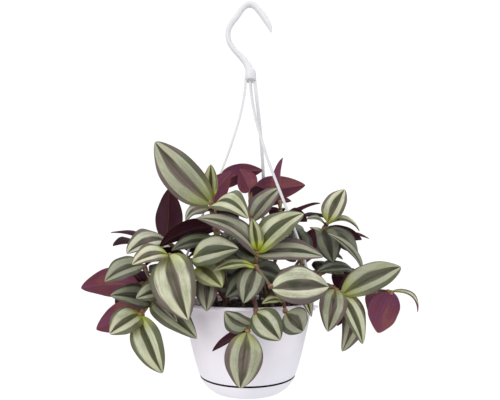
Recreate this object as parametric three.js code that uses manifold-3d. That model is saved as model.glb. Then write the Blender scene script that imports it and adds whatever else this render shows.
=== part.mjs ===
// A tradescantia in a white plastic hanging pot, with its clip-on saucer and its three-strap hanger.
// Millimetres, +Z up. The origin is the centre of the saucer's underside, and the front is -Y.
import * as THREE from 'three';
import * as BufferGeometryUtils from 'three/addons/utils/BufferGeometryUtils.js';
import Module from 'manifold-3d';

const wasm = await Module();
wasm.setup();

// Driving dimensions
const ROUND_SIDES = 24;          // facets round the pot, the saucer and the soil
const RIM_HEIGHT = 100.5;
const RIM_RADIUS = 76.5;
const SAUCER_HEIGHT = 16.2;
const SEAM_HEIGHT = 18.2;        // underside of the pot's wall, over the saucer's edge
const DRAIN_HOLES = 5;
const DRAIN_RADIUS = 5;
const DRAIN_CIRCLE = 29;
const DRAIN_DEPTH = 12;
const DRAIN_SIDES = 6;
const EAR_ANGLES = [-36, 84, 204];
const EAR_WIDTH = 9;
const EAR_ROOT = 74;             // an ear starts here, inside the lip
const EAR_REACH = 88;
const EAR_TOP = 100;
const EAR_THICKNESS = 2.6;
const SLOT_RADIUS = 83.5;         // where the strap goes down through the ear
const STRAP_WIDTH = 4;
const STRAP_THICKNESS = 1.8;
const STRAP_CLEARANCE = 0.35;
const TOGGLE_WIDTH = 7.4;
const TOGGLE_DEPTH = 3;
const TOGGLE_HEIGHT = 2.4;
const TOGGLE_GAP = 0.3;          // under the ear
const TOGGLE_MIDDLE = EAR_TOP - EAR_THICKNESS - TOGGLE_GAP - TOGGLE_HEIGHT / 2;
const STEM_RADIUS = 1.9;
const STEM_SIDES = 5;
const STEM_FOOT = 80;            // the lower end of every stem, in the soil
const SOIL_EXIT = 103;           // a stem stands straight up to here, just over the soil
const HOLE_RADIUS = 2.8;
const HOLE_SIDES = 6;
const HOLE_BELOW = 0.4;          // room under a stem's foot
const HOLE_TOP = 110;            // over the soil
const BLADE_THICKNESS = 0.8;
const MERGE_TOLERANCE = 0.2;
const BLADE_ROOM = 2.2;          // thickness of the same blade with its room round it

// Materials
const plastic = new THREE.MeshStandardMaterial({ color: 0xe9e6ee, roughness: 0.42, metalness: 0 });
const hangerPlastic = new THREE.MeshStandardMaterial({ color: 0xf0f0f4, roughness: 0.4, metalness: 0 });
const peat = new THREE.MeshStandardMaterial({ color: 0x17120f, roughness: 1, metalness: 0 });
const foliage = new THREE.MeshStandardMaterial({ color: 0x7d8a68, roughness: 0.5, metalness: 0 });
const darkFoliage = new THREE.MeshStandardMaterial({ color: 0x6a4a5c, roughness: 0.5, metalness: 0 });

const plant = new THREE.Group();
plant.name = 'potted_tradescantia';

const radians = (degrees) => degrees * Math.PI / 180;

// Booleans work on closed meshes whose shared vertices are merged
function solidFrom(geometry) {
  const bare = geometry.clone();
  for (const name of Object.keys(bare.attributes)) if (name !== 'position') bare.deleteAttribute(name);
  const merged = BufferGeometryUtils.mergeVertices(bare, 1e-4);
  return new wasm.Manifold(new wasm.Mesh({
    numProp: 3,
    vertProperties: new Float32Array(merged.attributes.position.array),
    triVerts: new Uint32Array(merged.index.array),
  }));
}

function addPiece(name, solid, material) {
  const mesh = solid.getMesh();
  const geometry = new THREE.BufferGeometry();
  geometry.setAttribute('position', new THREE.BufferAttribute(mesh.vertProperties, 3));
  geometry.setIndex(new THREE.BufferAttribute(mesh.triVerts, 1));
  const flat = geometry.toNonIndexed();
  flat.computeVertexNormals();
  const piece = new THREE.Mesh(flat, material);
  piece.name = name;
  plant.add(piece);
  return piece;
}

// A turned piece from its section, given as radius and height
function turned(section, sides = ROUND_SIDES) {
  const geometry = new THREE.LatheGeometry(section.map(([r, z]) => new THREE.Vector2(r, z)), sides);
  geometry.rotateX(Math.PI / 2);
  return solidFrom(geometry);
}

function placedBox(width, depth, height, angle, radius, z) {
  const geometry = new THREE.BoxGeometry(depth, width, height);
  geometry.translate(radius, 0, z);
  geometry.rotateZ(radians(angle));
  return solidFrom(geometry);
}

function uprightPeg(x, y, radius, low, high, sides) {
  const geometry = new THREE.CylinderGeometry(radius, radius, high - low, sides);
  geometry.rotateX(Math.PI / 2);
  geometry.translate(x, y, (low + high) / 2);
  return solidFrom(geometry);
}

// A solid of one section swept along a list of points, with flat ends. The section's own
// directions are worked out at each point by the function frame(index), and its size by scale(index).
function swept(points, section, frame, scale = () => 1) {
  const count = section.length;
  const positions = [];
  const faces = [];
  points.forEach((point, i) => {
    const [across, out] = frame(i);
    for (const [a, b] of section) {
      const corner = point.clone().addScaledVector(across, a * scale(i)).addScaledVector(out, b * scale(i));
      positions.push(corner.x, corner.y, corner.z);
    }
  });
  for (let i = 0; i < points.length - 1; i += 1) {
    for (let j = 0; j < count; j += 1) {
      const a = i * count + j;
      const b = i * count + (j + 1) % count;
      faces.push(a, b, b + count, a, b + count, a + count);
    }
  }
  const last = (points.length - 1) * count;
  for (let j = 1; j < count - 1; j += 1) {
    faces.push(0, j + 1, j);
    faces.push(last, last + j, last + j + 1);
  }
  const geometry = new THREE.BufferGeometry();
  geometry.setAttribute('position', new THREE.Float32BufferAttribute(positions, 3));
  geometry.setIndex(faces);
  return outward(geometry);
}

// The closed mesh with its faces turned outward
function outward(geometry) {
  const place = geometry.attributes.position;
  const index = geometry.index.array;
  const [a, b, c] = [new THREE.Vector3(), new THREE.Vector3(), new THREE.Vector3()];
  let volume = 0;
  for (let i = 0; i < index.length; i += 3) {
    a.fromBufferAttribute(place, index[i]);
    b.fromBufferAttribute(place, index[i + 1]);
    c.fromBufferAttribute(place, index[i + 2]);
    volume += a.dot(b.cross(c));
  }
  for (let i = 0; volume < 0 && i < index.length; i += 3) [index[i], index[i + 1]] = [index[i + 1], index[i]];
  return solidFrom(geometry);
}

function circle(radius, sides) {
  return Array.from({ length: sides }, (_, i) => {
    const angle = 2 * Math.PI * i / sides;
    return [radius * Math.cos(angle), radius * Math.sin(angle)];
  });
}

// Tangent directions along a list of points
function tangents(points) {
  return points.map((_, i) => {
    const next = points[Math.min(i + 1, points.length - 1)];
    const before = points[Math.max(i - 1, 0)];
    return next.clone().sub(before).normalize();
  });
}

// Saucer: clips under the pot and carries its foot
const saucer = turned([
  [0, 0], [41, 0], [43.5, 1.5], [48, 5], [52, 10], [55.3, SAUCER_HEIGHT], [53.7, SAUCER_HEIGHT],
  [50.3, 10.6], [46.3, 5.6], [42.2, 2], [0, 2],
]);
addPiece('saucer', saucer, plastic);

// Pot: foot and lower wall inside the saucer, flared wall, rolled lip, ears with a slot each
const potWall = turned([
  [4, 4.3], [38.4, 4.3], [39, 2.3], [41.4, 2.3], [50.8, SEAM_HEIGHT],
  [56, SEAM_HEIGHT], [62.4, 40], [66.9, 60], [70.8, 78], [73, 96.4],
  [RIM_RADIUS, 97.4], [RIM_RADIUS, 99.6], [75.6, RIM_HEIGHT], [73.4, RIM_HEIGHT], [71.4, 98.6],
  [69, 78], [65.1, 60], [60.6, 40], [54.3, 20.2], [49.2, 20.2],
  [40.2, 6.3], [4, 6.3], [4, 4.3],
]);
let pot = potWall;
for (let i = 0; i < DRAIN_HOLES; i += 1) {
  const angle = 2 * Math.PI * (i + 0.5) / DRAIN_HOLES;
  pot = pot.subtract(uprightPeg(
    DRAIN_CIRCLE * Math.cos(angle), DRAIN_CIRCLE * Math.sin(angle), DRAIN_RADIUS, 0, DRAIN_DEPTH, DRAIN_SIDES));
}
for (const angle of EAR_ANGLES) {
  const reach = EAR_REACH - EAR_ROOT;
  const middle = EAR_TOP - EAR_THICKNESS / 2;
  pot = pot.add(placedBox(EAR_WIDTH, reach, EAR_THICKNESS, angle, EAR_ROOT + reach / 2, middle));
  const slotWidth = STRAP_WIDTH + 2 * STRAP_CLEARANCE;
  const slotDepth = STRAP_THICKNESS + 2 * STRAP_CLEARANCE;
  pot = pot.subtract(placedBox(slotWidth, slotDepth, 3 * EAR_THICKNESS, angle, SLOT_RADIUS, middle));
}
addPiece('pot', pot, plastic);

// Hanger: a hook on a small hub, and three flat straps that end in toggles under the ears
const HUB_X = 3.5;
const HUB_LOW = 357.4;
const HUB_RADIUS = 6.4;
const HOOK_RADIUS = 3;           // at its slimmest, half way up the back
const HOOK_ROOT = 0.25;          // the share of the hook that widens down into the hub
const HOOK_TIP = 0.84;           // where the tip's taper starts
const hookLine = new THREE.CatmullRomCurve3([
  [3.5, 366], [1.4, 373], [-2.6, 380], [-9.6, 387.8], [-16.6, 395.4], [-21, 402.4], [-22.8, 409.4],
  [-22.4, 417.1], [-19.2, 424.1], [-12.2, 433.3], [-6.6, 441.7], [-1.6, 446.2], [3.3, 447.4],
  [8.2, 445.6], [13.1, 440.5], [18, 434.1], [22.9, 426.5], [26.2, 420.1], [27.6, 414.8],
].map(([x, z]) => new THREE.Vector3(x, 0, z)));
const HOOK_STEPS = 20;
const hookPoints = hookLine.getPoints(HOOK_STEPS);
const hookRadius = (i) => {
  const along = i / HOOK_STEPS;
  const root = 2.8 * Math.max(0, 1 - along / HOOK_ROOT) ** 2;
  const arm = 0.6 * Math.min(1, Math.max(0, (along - 0.4) / 0.3));
  const tip = 2.8 * Math.max(0, (along - HOOK_TIP) / (1 - HOOK_TIP)) ** 2;
  return HOOK_RADIUS + root + arm - tip;
};
const hookTangents = tangents(hookPoints);
const hook = swept(hookPoints, circle(1, 8), (i) => {
  const along = hookTangents[i];
  const across = new THREE.Vector3(0, 1, 0);
  return [across, across.clone().cross(along).normalize()];
}, hookRadius);
let hanger = turned([
  [0, HUB_LOW], [HUB_RADIUS - 0.8, HUB_LOW], [HUB_RADIUS, HUB_LOW + 1], [HUB_RADIUS, 366],
  [HUB_RADIUS - 1.2, 369.6], [0, 371],
], 12).translate([HUB_X, 0, 0]).add(hook);

// How far a strap has spread at each height, the same for all three
const strapLine = new THREE.CatmullRomCurve3([
  [0, 362], [0.6, 353], [2.4, 339], [8, 314], [15.6, 290], [26.5, 260], [44, 220], [61, 181], [71, 155],
  [78.5, 130], [82.6, 112], [83.5, 104], [83.5, 98], [83.5, 94.6],
].map(([r, z]) => new THREE.Vector3(r, 0, z)));
const STRAP_STEPS = 16;
const BACK_STRAP = 84;
const STRAP_STARTS = { [-36]: 3, 84: 8, 204: -2 }; // where each strap leaves the hub, by its ear's angle
const BACK_SWAY = 12;            // the back strap hangs a little to the right
const SWAY_LOW = 104;            // between these heights the straps draw in to the hub
const SWAY_HIGH = 360;
const strapSection = [
  [-STRAP_WIDTH / 2, -STRAP_THICKNESS / 2], [STRAP_WIDTH / 2, -STRAP_THICKNESS / 2],
  [STRAP_WIDTH / 2, STRAP_THICKNESS / 2], [-STRAP_WIDTH / 2, STRAP_THICKNESS / 2],
];
for (const angle of EAR_ANGLES) {
  const outDirection = new THREE.Vector3(Math.cos(radians(angle)), Math.sin(radians(angle)), 0);
  const across = new THREE.Vector3(-outDirection.y, outDirection.x, 0);
  const sway = angle === BACK_STRAP ? BACK_SWAY : 0;
  const points = strapLine.getPoints(STRAP_STEPS).map(({ x: r, z }) => {
    const rise = Math.max(0, (z - SWAY_LOW) / (SWAY_HIGH - SWAY_LOW));
    const shift = STRAP_STARTS[angle] * rise + sway * Math.sin(Math.PI * Math.min(1, rise));
    return new THREE.Vector3(outDirection.x * r + shift, outDirection.y * r, z);
  });
  const along = tangents(points);
  hanger = hanger.add(swept(points, strapSection, (i) => [across, along[i].clone().cross(across).normalize()]));
  hanger = hanger.add(
    placedBox(TOGGLE_WIDTH, TOGGLE_DEPTH, TOGGLE_HEIGHT, angle, SLOT_RADIUS, TOGGLE_MIDDLE));
}
addPiece('hanger', hanger, hangerPlastic);

// A leafy stem stands in the soil and carries its leaves. Route points are [x, y, z] in
// millimetres, and the foot and the straight part in the soil are added under the first one.
// Each leaf is [place along the route, tip, width, way its upper face looks, arch, fold]:
// place 0 is the soil, 1 the first route point and so on; arch and fold are shares of the
// leaf's length and half width.
const frontStems = [
  { // upper left front, with the tallest leaf
    foot: [-22, -14], route: [[-27, -28, 145], [-35, -44, 185], [-38, -50, 211]],
    leaves: [
      [3, [-37, -57, 244], 15, [0.1, -1, 0.1], 0.04, 0.7],
      [3, [-88, -38, 271], 41, [-0.45, -0.85, 0.05], 0.1, 0.2],
      [3, [1, -66, 188], 38, [0.1, -0.72, 0.68], 0.32, 0.1],
      [2.7, [-17, -28, 244], 28, [-0.3, 0.85, 0.4], 0.16, 0.2],
      [2.5, [-59, -62, 186], 32, [-0.75, -0.55, 0.4], 0.22, 0.15],
      [1.95, [-92, -46, 161], 27, [0.1, 0.5, 0.85], 0.12, 0.15],
      [1.5, [-81, -35, 168], 28, [0.1, -0.6, 0.8], 0.12, 0.2],
      [1.2, [-19, -30, 174], 28, [0, -0.6, 0.8], 0.12, 0.2],
    ],
  },
  { // centre front, with the broad pale leaves
    foot: [6, -26], route: [[7, -38, 126], [9, -52, 145], [10, -60, 157]],
    leaves: [
      [3, [5, -62, 188], 15, [0.2, -1, 0], 0.03, 0.7],
      [3, [58, -50, 195], 37, [-0.35, -0.78, 0.52], 0.14, 0.2],
      [3, [77, -58, 150], 29, [0, -0.8, 0.6], 0.12, 0.25],
      [2.5, [-44, -76, 194], 32, [0.15, -0.7, 0.7], 0.2, 0.15],
      [2.3, [-14, -60, 171], 28, [-0.1, -0.85, 0.5], 0.08, 0.2],
      [1.6, [38, -36, 120], 26, [0, -0.8, 0.6], 0.1, 0.2],
    ],
  },
  { // centre front, lower
    foot: [20, -38], route: [[15, -56, 130], [8, -78, 140], [16, -88, 130], [23, -90, 120]],
    leaves: [
      [4, [78, -78, 121], 39, [-0.05, -0.92, 0.4], 0.08, 0.2],
      [2.1, [-3, -95, 107], 26, [0, -0.95, 0.3], 0.08, 0.2],
      [1.9, [-31, -90, 136], 23, [0, -0.4, 0.9], 0.12, 0.1],
      [1.4, [-20, -80, 111], 27, [-0.2, -0.9, 0.3], 0.08, 0.2],
    ],
  },
  { // short stem between the front and the left
    foot: [-24, -34], route: [[-34, -50, 122], [-46, -64, 138], [-53, -72, 148]],
    leaves: [
      [3, [-8, -84, 157], 37, [0.05, -0.8, 0.6], 0.1, 0.15],
      [2.2, [-23, -88, 121], 30, [0.1, -0.85, 0.5], 0.08, 0.2],
      [1.5, [-37, -91, 99], 24, [0, -0.95, 0.2], 0.08, 0.2],
    ],
  },
  { // left front, with the broadest leaf
    foot: [-38, -30], route: [[-52, -46, 128], [-67, -60, 146], [-78, -70, 152]],
    leaves: [
      [2.9, [-53, -98, 92], 45, [-0.2, -0.93, 0.3], 0.1, 0.16],
      [3, [-108, -84, 142], 27, [0, -0.72, 0.7], 0.16, 0.25],
    ],
  },
  { // left front, pale young stem
    foot: [-48, -16], route: [[-68, -38, 116], [-80, -62, 116], [-91, -74, 124], [-103, -66, 142]],
    leaves: [
      [4, [-137, -76, 126], 28, [0, -0.8, 0.6], 0.14, 0.2],
      [2.1, [-102, -92, 111], 23, [0.1, -0.9, 0.4], 0.08, 0.2],
    ],
  },
  { // low left, over the lip
    foot: [-45, -5], route: [[-66, -15, 117], [-86, -26, 114], [-102, -44, 102], [-109, -60, 90]],
    leaves: [
      [4, [-82, -74, 37], 31, [-0.1, -0.95, 0.2], 0.06, 0.2],
      [4, [-133, -74, 75], 32, [-0.3, -0.9, 0.25], 0.1, 0.15],
      [4, [-157, -48, 75], 34, [0.1, 0.9, 0.2], 0.1, 0.15],
      [3, [-134, -70, 112], 28, [0, -0.8, 0.55], 0.16, 0.2],
      [3, [-47, -86, 73], 29, [0.15, -0.9, 0.35], 0.1, 0.2],
      [2.6, [-64, -92, 89], 16, [0.1, -0.85, 0.45], 0.1, 0.3],
    ],
  },
  { // left, behind the last one
    foot: [-54, 14], route: [[-80, -4, 122], [-99, -28, 130], [-114, -44, 121]],
    leaves: [
      [3, [-172, -50, 118], 36, [0, 0.85, 0.45], 0.08, 0.2],
      [3, [-120, -66, 135], 22, [0.1, 0.7, 0.6], 0.1, 0.2],
      [2, [-147, -20, 96], 28, [-0.3, 0.2, 0.9], 0.14, 0.2],
    ],
  },
  { // upper left, dark leaves
    foot: [-38, 14], route: [[-58, 8, 138], [-78, 0, 156], [-93, -7, 170]],
    leaves: [
      [3, [-91, -2, 232], 32, [0, 0.95, 0.1], 0.05, 0.2],
      [2.7, [-134, -40, 162], 41, [-0.1, -0.75, 0.65], 0.16, 0.25],
      [3, [-106, 6, 204], 20, [0.2, 0.9, 0.3], 0.06, 0.3],
      [2.2, [-64, -20, 170], 27, [0.1, -0.7, 0.7], 0.12, 0.2],
      [1.8, [-111, -30, 145], 27, [-0.3, 0.3, 0.9], 0.2, 0.15],
    ],
  },
  { // high, left of the back strap
    foot: [-24, 14], route: [[-32, 14, 150], [-37, 12, 200], [-36, 10, 236]],
    leaves: [
      [3, [18, 12, 256], 26, [0, 0.8, 0.6], 0.24, 0.2],
      [3, [-63, 24, 250], 25, [0.2, 0.6, 0.7], 0.12, 0.2],
      [2.4, [-72, 30, 217], 28, [-0.2, 0.5, 0.8], 0.14, 0.2],
      [2.2, [-21, 52, 230], 28, [0, 0.4, 0.9], 0.14, 0.2],
      [1.9, [-11, -8, 200], 28, [0.1, 0.8, 0.6], 0.1, 0.2],
      [1.6, [-64, 36, 177], 28, [-0.3, 0.5, 0.8], 0.16, 0.2],
    ],
  },
  { // high centre, in front of the back strap
    foot: [8, 4], route: [[4, -8, 150], [4, -12, 192], [3, 6, 230]],
    leaves: [
      [2, [37, -10, 230], 31, [-0.3, -0.8, 0.5], 0.08, 0.2],
      [3, [-11, 20, 257], 27, [0.2, 0.9, 0.3], 0.06, 0.3],
      [3, [61, 34, 273], 35, [0.1, 0.9, 0.4], 0.1, 0.2],
      [2.6, [24, 18, 231], 29, [0, 0.9, 0.4], 0.08, 0.2],
      [2.3, [54, 24, 221], 22, [0, 0.7, 0.7], 0.14, 0.2],
      [1.6, [-36, -14, 166], 28, [-0.1, -0.5, 0.85], 0.14, 0.2],
      [1.2, [27, 10, 160], 28, [0, -0.7, 0.7], 0.12, 0.2],
    ],
  },
  { // high, right of the back strap
    foot: [26, 12], route: [[33, 12, 150], [39, 8, 190], [38, 6, 220]],
    leaves: [
      [3, [41, -2, 267], 14, [-0.6, 0.7, 0.1], 0.08, 0.7],
      [2.6, [18, 50, 232], 27, [0, 0.5, 0.85], 0.14, 0.2],
      [2.2, [75, 34, 197], 26, [0, 0.6, 0.8], 0.14, 0.2],
      [1.8, [65, -12, 171], 29, [0.1, -0.7, 0.7], 0.14, 0.2],
      [1.3, [57, 6, 146], 29, [0, -0.7, 0.7], 0.14, 0.2],
    ],
  },
  { // upper right
    foot: [34, -4], route: [[57, 0, 142], [81, 4, 172], [95, 5, 193]],
    leaves: [
      [3, [114, 2, 231], 28, [-0.45, -0.85, 0.15], 0.08, 0.3],
      [3, [131, -4, 190], 13, [0.2, -0.6, 0.8], 0.26, 0.5],
      [3, [95, -22, 145], 35, [-0.2, -0.93, 0.25], 0.16, 0.12],
      [3, [126, -10, 152], 31, [0.3, -0.8, 0.5], 0.18, 0.2],
      [3, [141, 16, 168], 26, [0.3, 0.7, 0.6], 0.12, 0.2],
      [2.8, [68, -6, 195], 15, [-0.1, -0.6, 0.8], 0.14, 0.3],
      [2.4, [95, 40, 182], 28, [0, 0.3, 0.95], 0.14, 0.2],
      [1.8, [112, 24, 153], 28, [0, 0.3, 0.95], 0.14, 0.2],
    ],
  },
  { // right, under the last one
    foot: [44, 10], route: [[70, 8, 122], [102, 2, 137], [132, -8, 134]],
    leaves: [
      [3, [82, -30, 170], 18, [0.3, -0.7, 0.6], 0.1, 0.3],
      [2.7, [74, -34, 134], 22, [0, -0.65, 0.75], 0.1, 0.2],
      [2.2, [93, -10, 135], 26, [-0.2, -0.85, 0.4], 0.1, 0.2],
      [2.5, [106, 0, 112], 27, [-0.1, 0.8, 0.4], 0.1, 0.2],
      [3, [163, 22, 119], 28, [0, 0.3, 0.95], 0.12, 0.2],
      [1.6, [100, 40, 146], 28, [0, 0.4, 0.9], 0.14, 0.2],
    ],
  },
  { // right front, over the lip
    foot: [46, -14], route: [[67, -20, 119], [87, -26, 121], [103, -30, 110]],
    leaves: [
      [3, [171, -20, 140], 34, [-0.1, -0.85, 0.5], 0.1, 0.2],
      [3, [132, -50, 67], 25, [0.3, -0.85, 0.4], 0.1, 0.15],
      [3, [82, -56, 74], 29, [-0.1, -0.9, 0.35], 0.1, 0.2],
    ],
  },
  { // far right, hanging out
    foot: [54, 2], route: [[84, 1, 109], [122, -4, 108], [149, -12, 113], [163, -20, 111]],
    leaves: [
      [4, [144, -24, 67], 38, [-0.1, 0.95, 0.1], 0.08, 0.15],
      [4, [189, -22, 90], 9, [0.5, -0.6, 0.6], 0.3, 0.6],
      [2, [102, -34, 49], 35, [0.45, -0.85, 0.1], 0.1, 0.2],
      [3, [154, 26, 74], 28, [0.4, 0.6, 0.5], 0.1, 0.2],
      [2, [112, 30, 66], 28, [0.3, 0.7, 0.5], 0.1, 0.2],
    ],
  },
  { // front centre, hanging over the lip
    foot: [-4, -46], route: [[1, -62, 110], [7, -79, 108], [8, -88, 98], [3, -92, 86], [0, -93, 80]],
    leaves: [
      [5, [-6, -97, 30], 35, [-0.05, -0.98, 0.15], 0.05, 0.14],
      [4, [-20, -97, 100], 27, [-0.45, -0.8, -0.3], 0.16, 0.2],
      [5, [-33, -94, 63], 10, [0.1, 0.8, 0.5], 0.08, 0.5],
      [3, [30, -99, 74], 29, [0.1, -0.97, 0.2], 0.1, 0.2],
    ],
  },
  { // front, right of the last one
    foot: [26, -50], route: [[30, -64, 109], [34, -80, 107], [36, -88, 97]],
    leaves: [
      [3, [52, -88, 80], 30, [0.2, -0.95, 0.2], 0.08, 0.2],
      [2, [14, -91, 106], 13, [0, -0.5, 0.85], 0.1, 0.3],
    ],
  },
  { // right front, short and dark
    foot: [40, -32], route: [[48, -34, 122], [56, -30, 138], [62, -26, 150]],
    leaves: [
      [3, [54, -22, 183], 26, [-0.2, -0.75, 0.6], 0.12, 0.2],
      [3, [77, -16, 179], 22, [0.2, 0.7, 0.6], 0.1, 0.2],
      [1.3, [87, -60, 103], 15, [0.1, -0.85, 0.45], 0.12, 0.2],
    ],
  },
  { // middle, low and dark, between the others
    foot: [4, 24], route: [[4, 21, 118], [2, 17, 134], [0, 15, 150]],
    leaves: [
      [2.6, [56, 12, 140], 32, [0, -0.8, 0.6], 0.1, 0.2],
      [2.2, [-44, 8, 144], 32, [0, -0.85, 0.5], 0.1, 0.2],
      [1.2, [46, 8, 112], 32, [0, -0.9, 0.4], 0.1, 0.2],
      [0.9, [-42, 4, 114], 32, [0, -0.9, 0.4], 0.1, 0.2],
    ],
  },
];

// The far side of the plant is filled by a rule: each stem leans out at an angle to a reach and a
// height, and its leaves stand left and right of it in turn. Small differences come from a seeded draw.
const BACK_LEAVES = 5;
const BACK_PLACES = [1.4, 3];    // of the lowest and the highest leaf along the stem
const BACK_SPREAD = [78, 26];    // degrees between the stem's way and a leaf's, low and high on it
const BACK_LENGTHS = [54, 70];
const BACK_WIDTH = 0.54;         // a share of the leaf's length
const OVER_LIP = 116;            // a stem that hangs out first rises to here
const UPRIGHT = 130;             // a stem that ends above this height holds its leaves up
const backStems = [
  { angle: 24, start: 36, reach: 106, height: 166 },
  { angle: 42, start: 56, reach: 118, height: 100 },
  { angle: 50, start: 34, reach: 76, height: 188 },
  { angle: 74, start: 58, reach: 112, height: 112 },
  { angle: 104, start: 42, reach: 84, height: 172 },
  { angle: 118, start: 60, reach: 122, height: 94 },
  { angle: 134, start: 40, reach: 96, height: 158 },
  { angle: 152, start: 58, reach: 124, height: 104 },
  { angle: 170, start: 40, reach: 116, height: 150 },
];

// Park and Miller's generator, from 0 to 1
let seed = 2024;
function draw() {
  seed = (seed * 16807) % 2147483647;
  return seed / 2147483647;
}

function backStem({ angle, start, reach, height }) {
  const around = (degrees, radius, z) => [
    radius * Math.cos(radians(degrees)), radius * Math.sin(radians(degrees)), z];
  const overLip = Math.max(OVER_LIP, SOIL_EXIT + 0.45 * (height - SOIL_EXIT));
  const foot = around(angle, start, 0).slice(0, 2);
  const route = [
    around(angle, start + 0.42 * (reach - start), overLip),
    around(angle, start + 0.75 * (reach - start), overLip + 0.6 * (height - overLip) + 4),
    around(angle, reach, height),
  ];
  const between = ([low, high], share) => low + (high - low) * share;
  const leaves = [];
  for (let i = 0; i < BACK_LEAVES; i += 1) {
    const along = i / (BACK_LEAVES - 1);
    const place = between(BACK_PLACES, along);
    const side = i % 2 ? 1 : -1;
    const turn = angle + side * (between(BACK_SPREAD, along) + 12 * draw());
    const lift = radians((height > UPRIGHT ? 34 * along - 4 : 2 - 40 * along) + 22 * draw());
    const length = between(BACK_LENGTHS, draw());
    const [x, y, z] = stemPoint(foot, route, place);
    const flat = length * Math.cos(lift);
    const tip = [
      x + flat * Math.cos(radians(turn)), y + flat * Math.sin(radians(turn)), z + length * Math.sin(lift)];
    const facing = [0.5 * Math.cos(radians(turn)), 0.5 * Math.sin(radians(turn)), 0.8];
    leaves.push([place, tip, BACK_WIDTH * length, facing, 0.16, 0.2]);
  }
  return { foot, route, leaves };
}

// The stem's line over the soil, a uniform cubic through the route's points
function stemLine(foot, route) {
  const [x, y] = foot;
  const points = [[x, y, SOIL_EXIT - 8], [x, y, SOIL_EXIT], ...route].map((p) => new THREE.Vector3(...p));
  return new THREE.CatmullRomCurve3(points, false, 'catmullrom', 0.5);
}

function stemPoint(foot, route, place) {
  const line = stemLine(foot, route);
  return line.getPoint((place + 1) / (line.points.length - 1)).toArray();
}

const STEPS_A_SPAN = 2;
function stemSolid({ foot, route }) {
  const points = [new THREE.Vector3(foot[0], foot[1], STEM_FOOT)];
  for (let i = 0; i <= route.length * STEPS_A_SPAN; i += 1) {
    points.push(new THREE.Vector3(...stemPoint(foot, route, i / STEPS_A_SPAN)));
  }
  const along = tangents(points);
  const across = new THREE.Vector3(-foot[1], foot[0], 0).normalize();
  const frames = along.map((direction) => {
    across.addScaledVector(direction, -across.dot(direction)).normalize();
    return [across.clone(), direction.clone().cross(across)];
  });
  const thinner = (i) => 1 - 0.3 * Math.max(0, i / (points.length - 1) - 0.4);
  return swept(points, circle(STEM_RADIUS, STEM_SIDES), (i) => frames[i], thinner);
}

// A blade lies along its midrib, from its base in the stem to its tip. It is folded along the
// midrib and arches toward its upper face.
const BLADE_ROWS = [0, 0.13, 0.33, 0.57, 0.81, 1];
const SMALL_BLADE_ROWS = [0, 0.2, 0.5, 0.8, 1];
const SMALL_WIDTH = 34;          // a blade narrower than this has fewer rows
const ROOT_HALF = 0.8;           // half the blade's width where it leaves the middle of the stem
const bladeOutline = (s) => Math.sin(Math.PI * s ** 0.82) ** 0.72;

function bladeSolid(base, tip, width, facing, arch, fold, thickness) {
  const chord = tip.clone().sub(base);
  const length = chord.length();
  const along = chord.normalize();
  const side = along.clone().cross(facing).normalize();
  const up = side.clone().cross(along);
  const rows = width < SMALL_WIDTH ? SMALL_BLADE_ROWS : BLADE_ROWS;
  const positions = [];
  const faces = [];
  rows.forEach((s) => {
    const middle = base.clone().addScaledVector(along, length * s)
      .addScaledVector(up, 4 * arch * length * s * (1 - s));
    const tangent = along.clone().addScaledVector(up, 4 * arch * (1 - 2 * s)).normalize();
    const normal = side.clone().cross(tangent).normalize();
    const half = s === 1 ? 0 : Math.max(ROOT_HALF, width / 2 * bladeOutline(s));
    const across = half ? [-1, 0, 1] : [0];
    for (const u of across) {
      for (const face of [1, -1]) {
        const corner = middle.clone().addScaledVector(side, u * half)
          .addScaledVector(normal, Math.abs(u) * fold * half + face * thickness / 2);
        positions.push(corner.x, corner.y, corner.z);
      }
    }
  });
  // In a row the corners are: left upper, left lower, middle upper, middle lower, right upper, right lower
  const quad = (a, b, c, d) => faces.push(a, b, c, a, c, d);
  for (let row = 0; row < rows.length - 2; row += 1) {
    const a = 6 * row;
    const b = a + 6;
    quad(a, b, b + 2, a + 2);
    quad(a + 2, b + 2, b + 4, a + 4);
    quad(a + 1, a + 3, b + 3, b + 1);
    quad(a + 3, a + 5, b + 5, b + 3);
    quad(a, a + 1, b + 1, b);
    quad(a + 4, b + 4, b + 5, a + 5);
  }
  const a = 6 * (rows.length - 2);
  const t = a + 6;
  faces.push(a, t, a + 2, a + 2, t, a + 4, a + 1, a + 3, t + 1, a + 3, a + 5, t + 1);
  quad(a, a + 1, t + 1, t);
  quad(a + 4, t, t + 1, a + 5);
  quad(0, 2, 3, 1);
  quad(2, 4, 5, 3);
  const geometry = new THREE.BufferGeometry();
  geometry.setAttribute('position', new THREE.Float32BufferAttribute(positions, 3));
  geometry.setIndex(faces);
  return outward(geometry);
}

// A leaf that would cross another piece is turned about its base, by the smallest turn that
// clears it. If none does, a smaller leaf is tried, and one that finds no room is left out.
const TURNS = [];
for (const size of [1, 0.88, 0.76, 0.64, 0.52]) {
  TURNS.push({ size, angle: 0, way: 0 });
  for (const angle of [7, 14, 22, 31, 42]) {
    for (let way = 0; way < 360; way += 45) TURNS.push({ size, angle, way });
  }
}

function turnedTip(base, tip, facing, { size, angle, way }) {
  const chord = tip.clone().sub(base);
  const length = chord.length() * size;
  const along = chord.normalize();
  const side = along.clone().cross(facing).normalize();
  const up = side.clone().cross(along);
  const sideways = side.multiplyScalar(Math.cos(radians(way))).addScaledVector(up, Math.sin(radians(way)));
  const direction = along.multiplyScalar(Math.cos(radians(angle)))
    .addScaledVector(sideways, Math.sin(radians(angle)));
  return base.clone().addScaledVector(direction, length);
}

const OWN_CROSSING = 7;          // cubic millimetres that leaves of one stem may share at their roots
const NO_CROSSING = 0.001;
const apart = (a, b) => a.min.some((low, i) => low > b.max[i]) || b.min.some((low, i) => low > a.max[i]);
const standing = [saucer, pot, hanger].map((solid) => ({ solid, box: solid.boundingBox(), stem: -1 }));

const stems = [...frontStems, ...backStems.map(backStem)];

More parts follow.
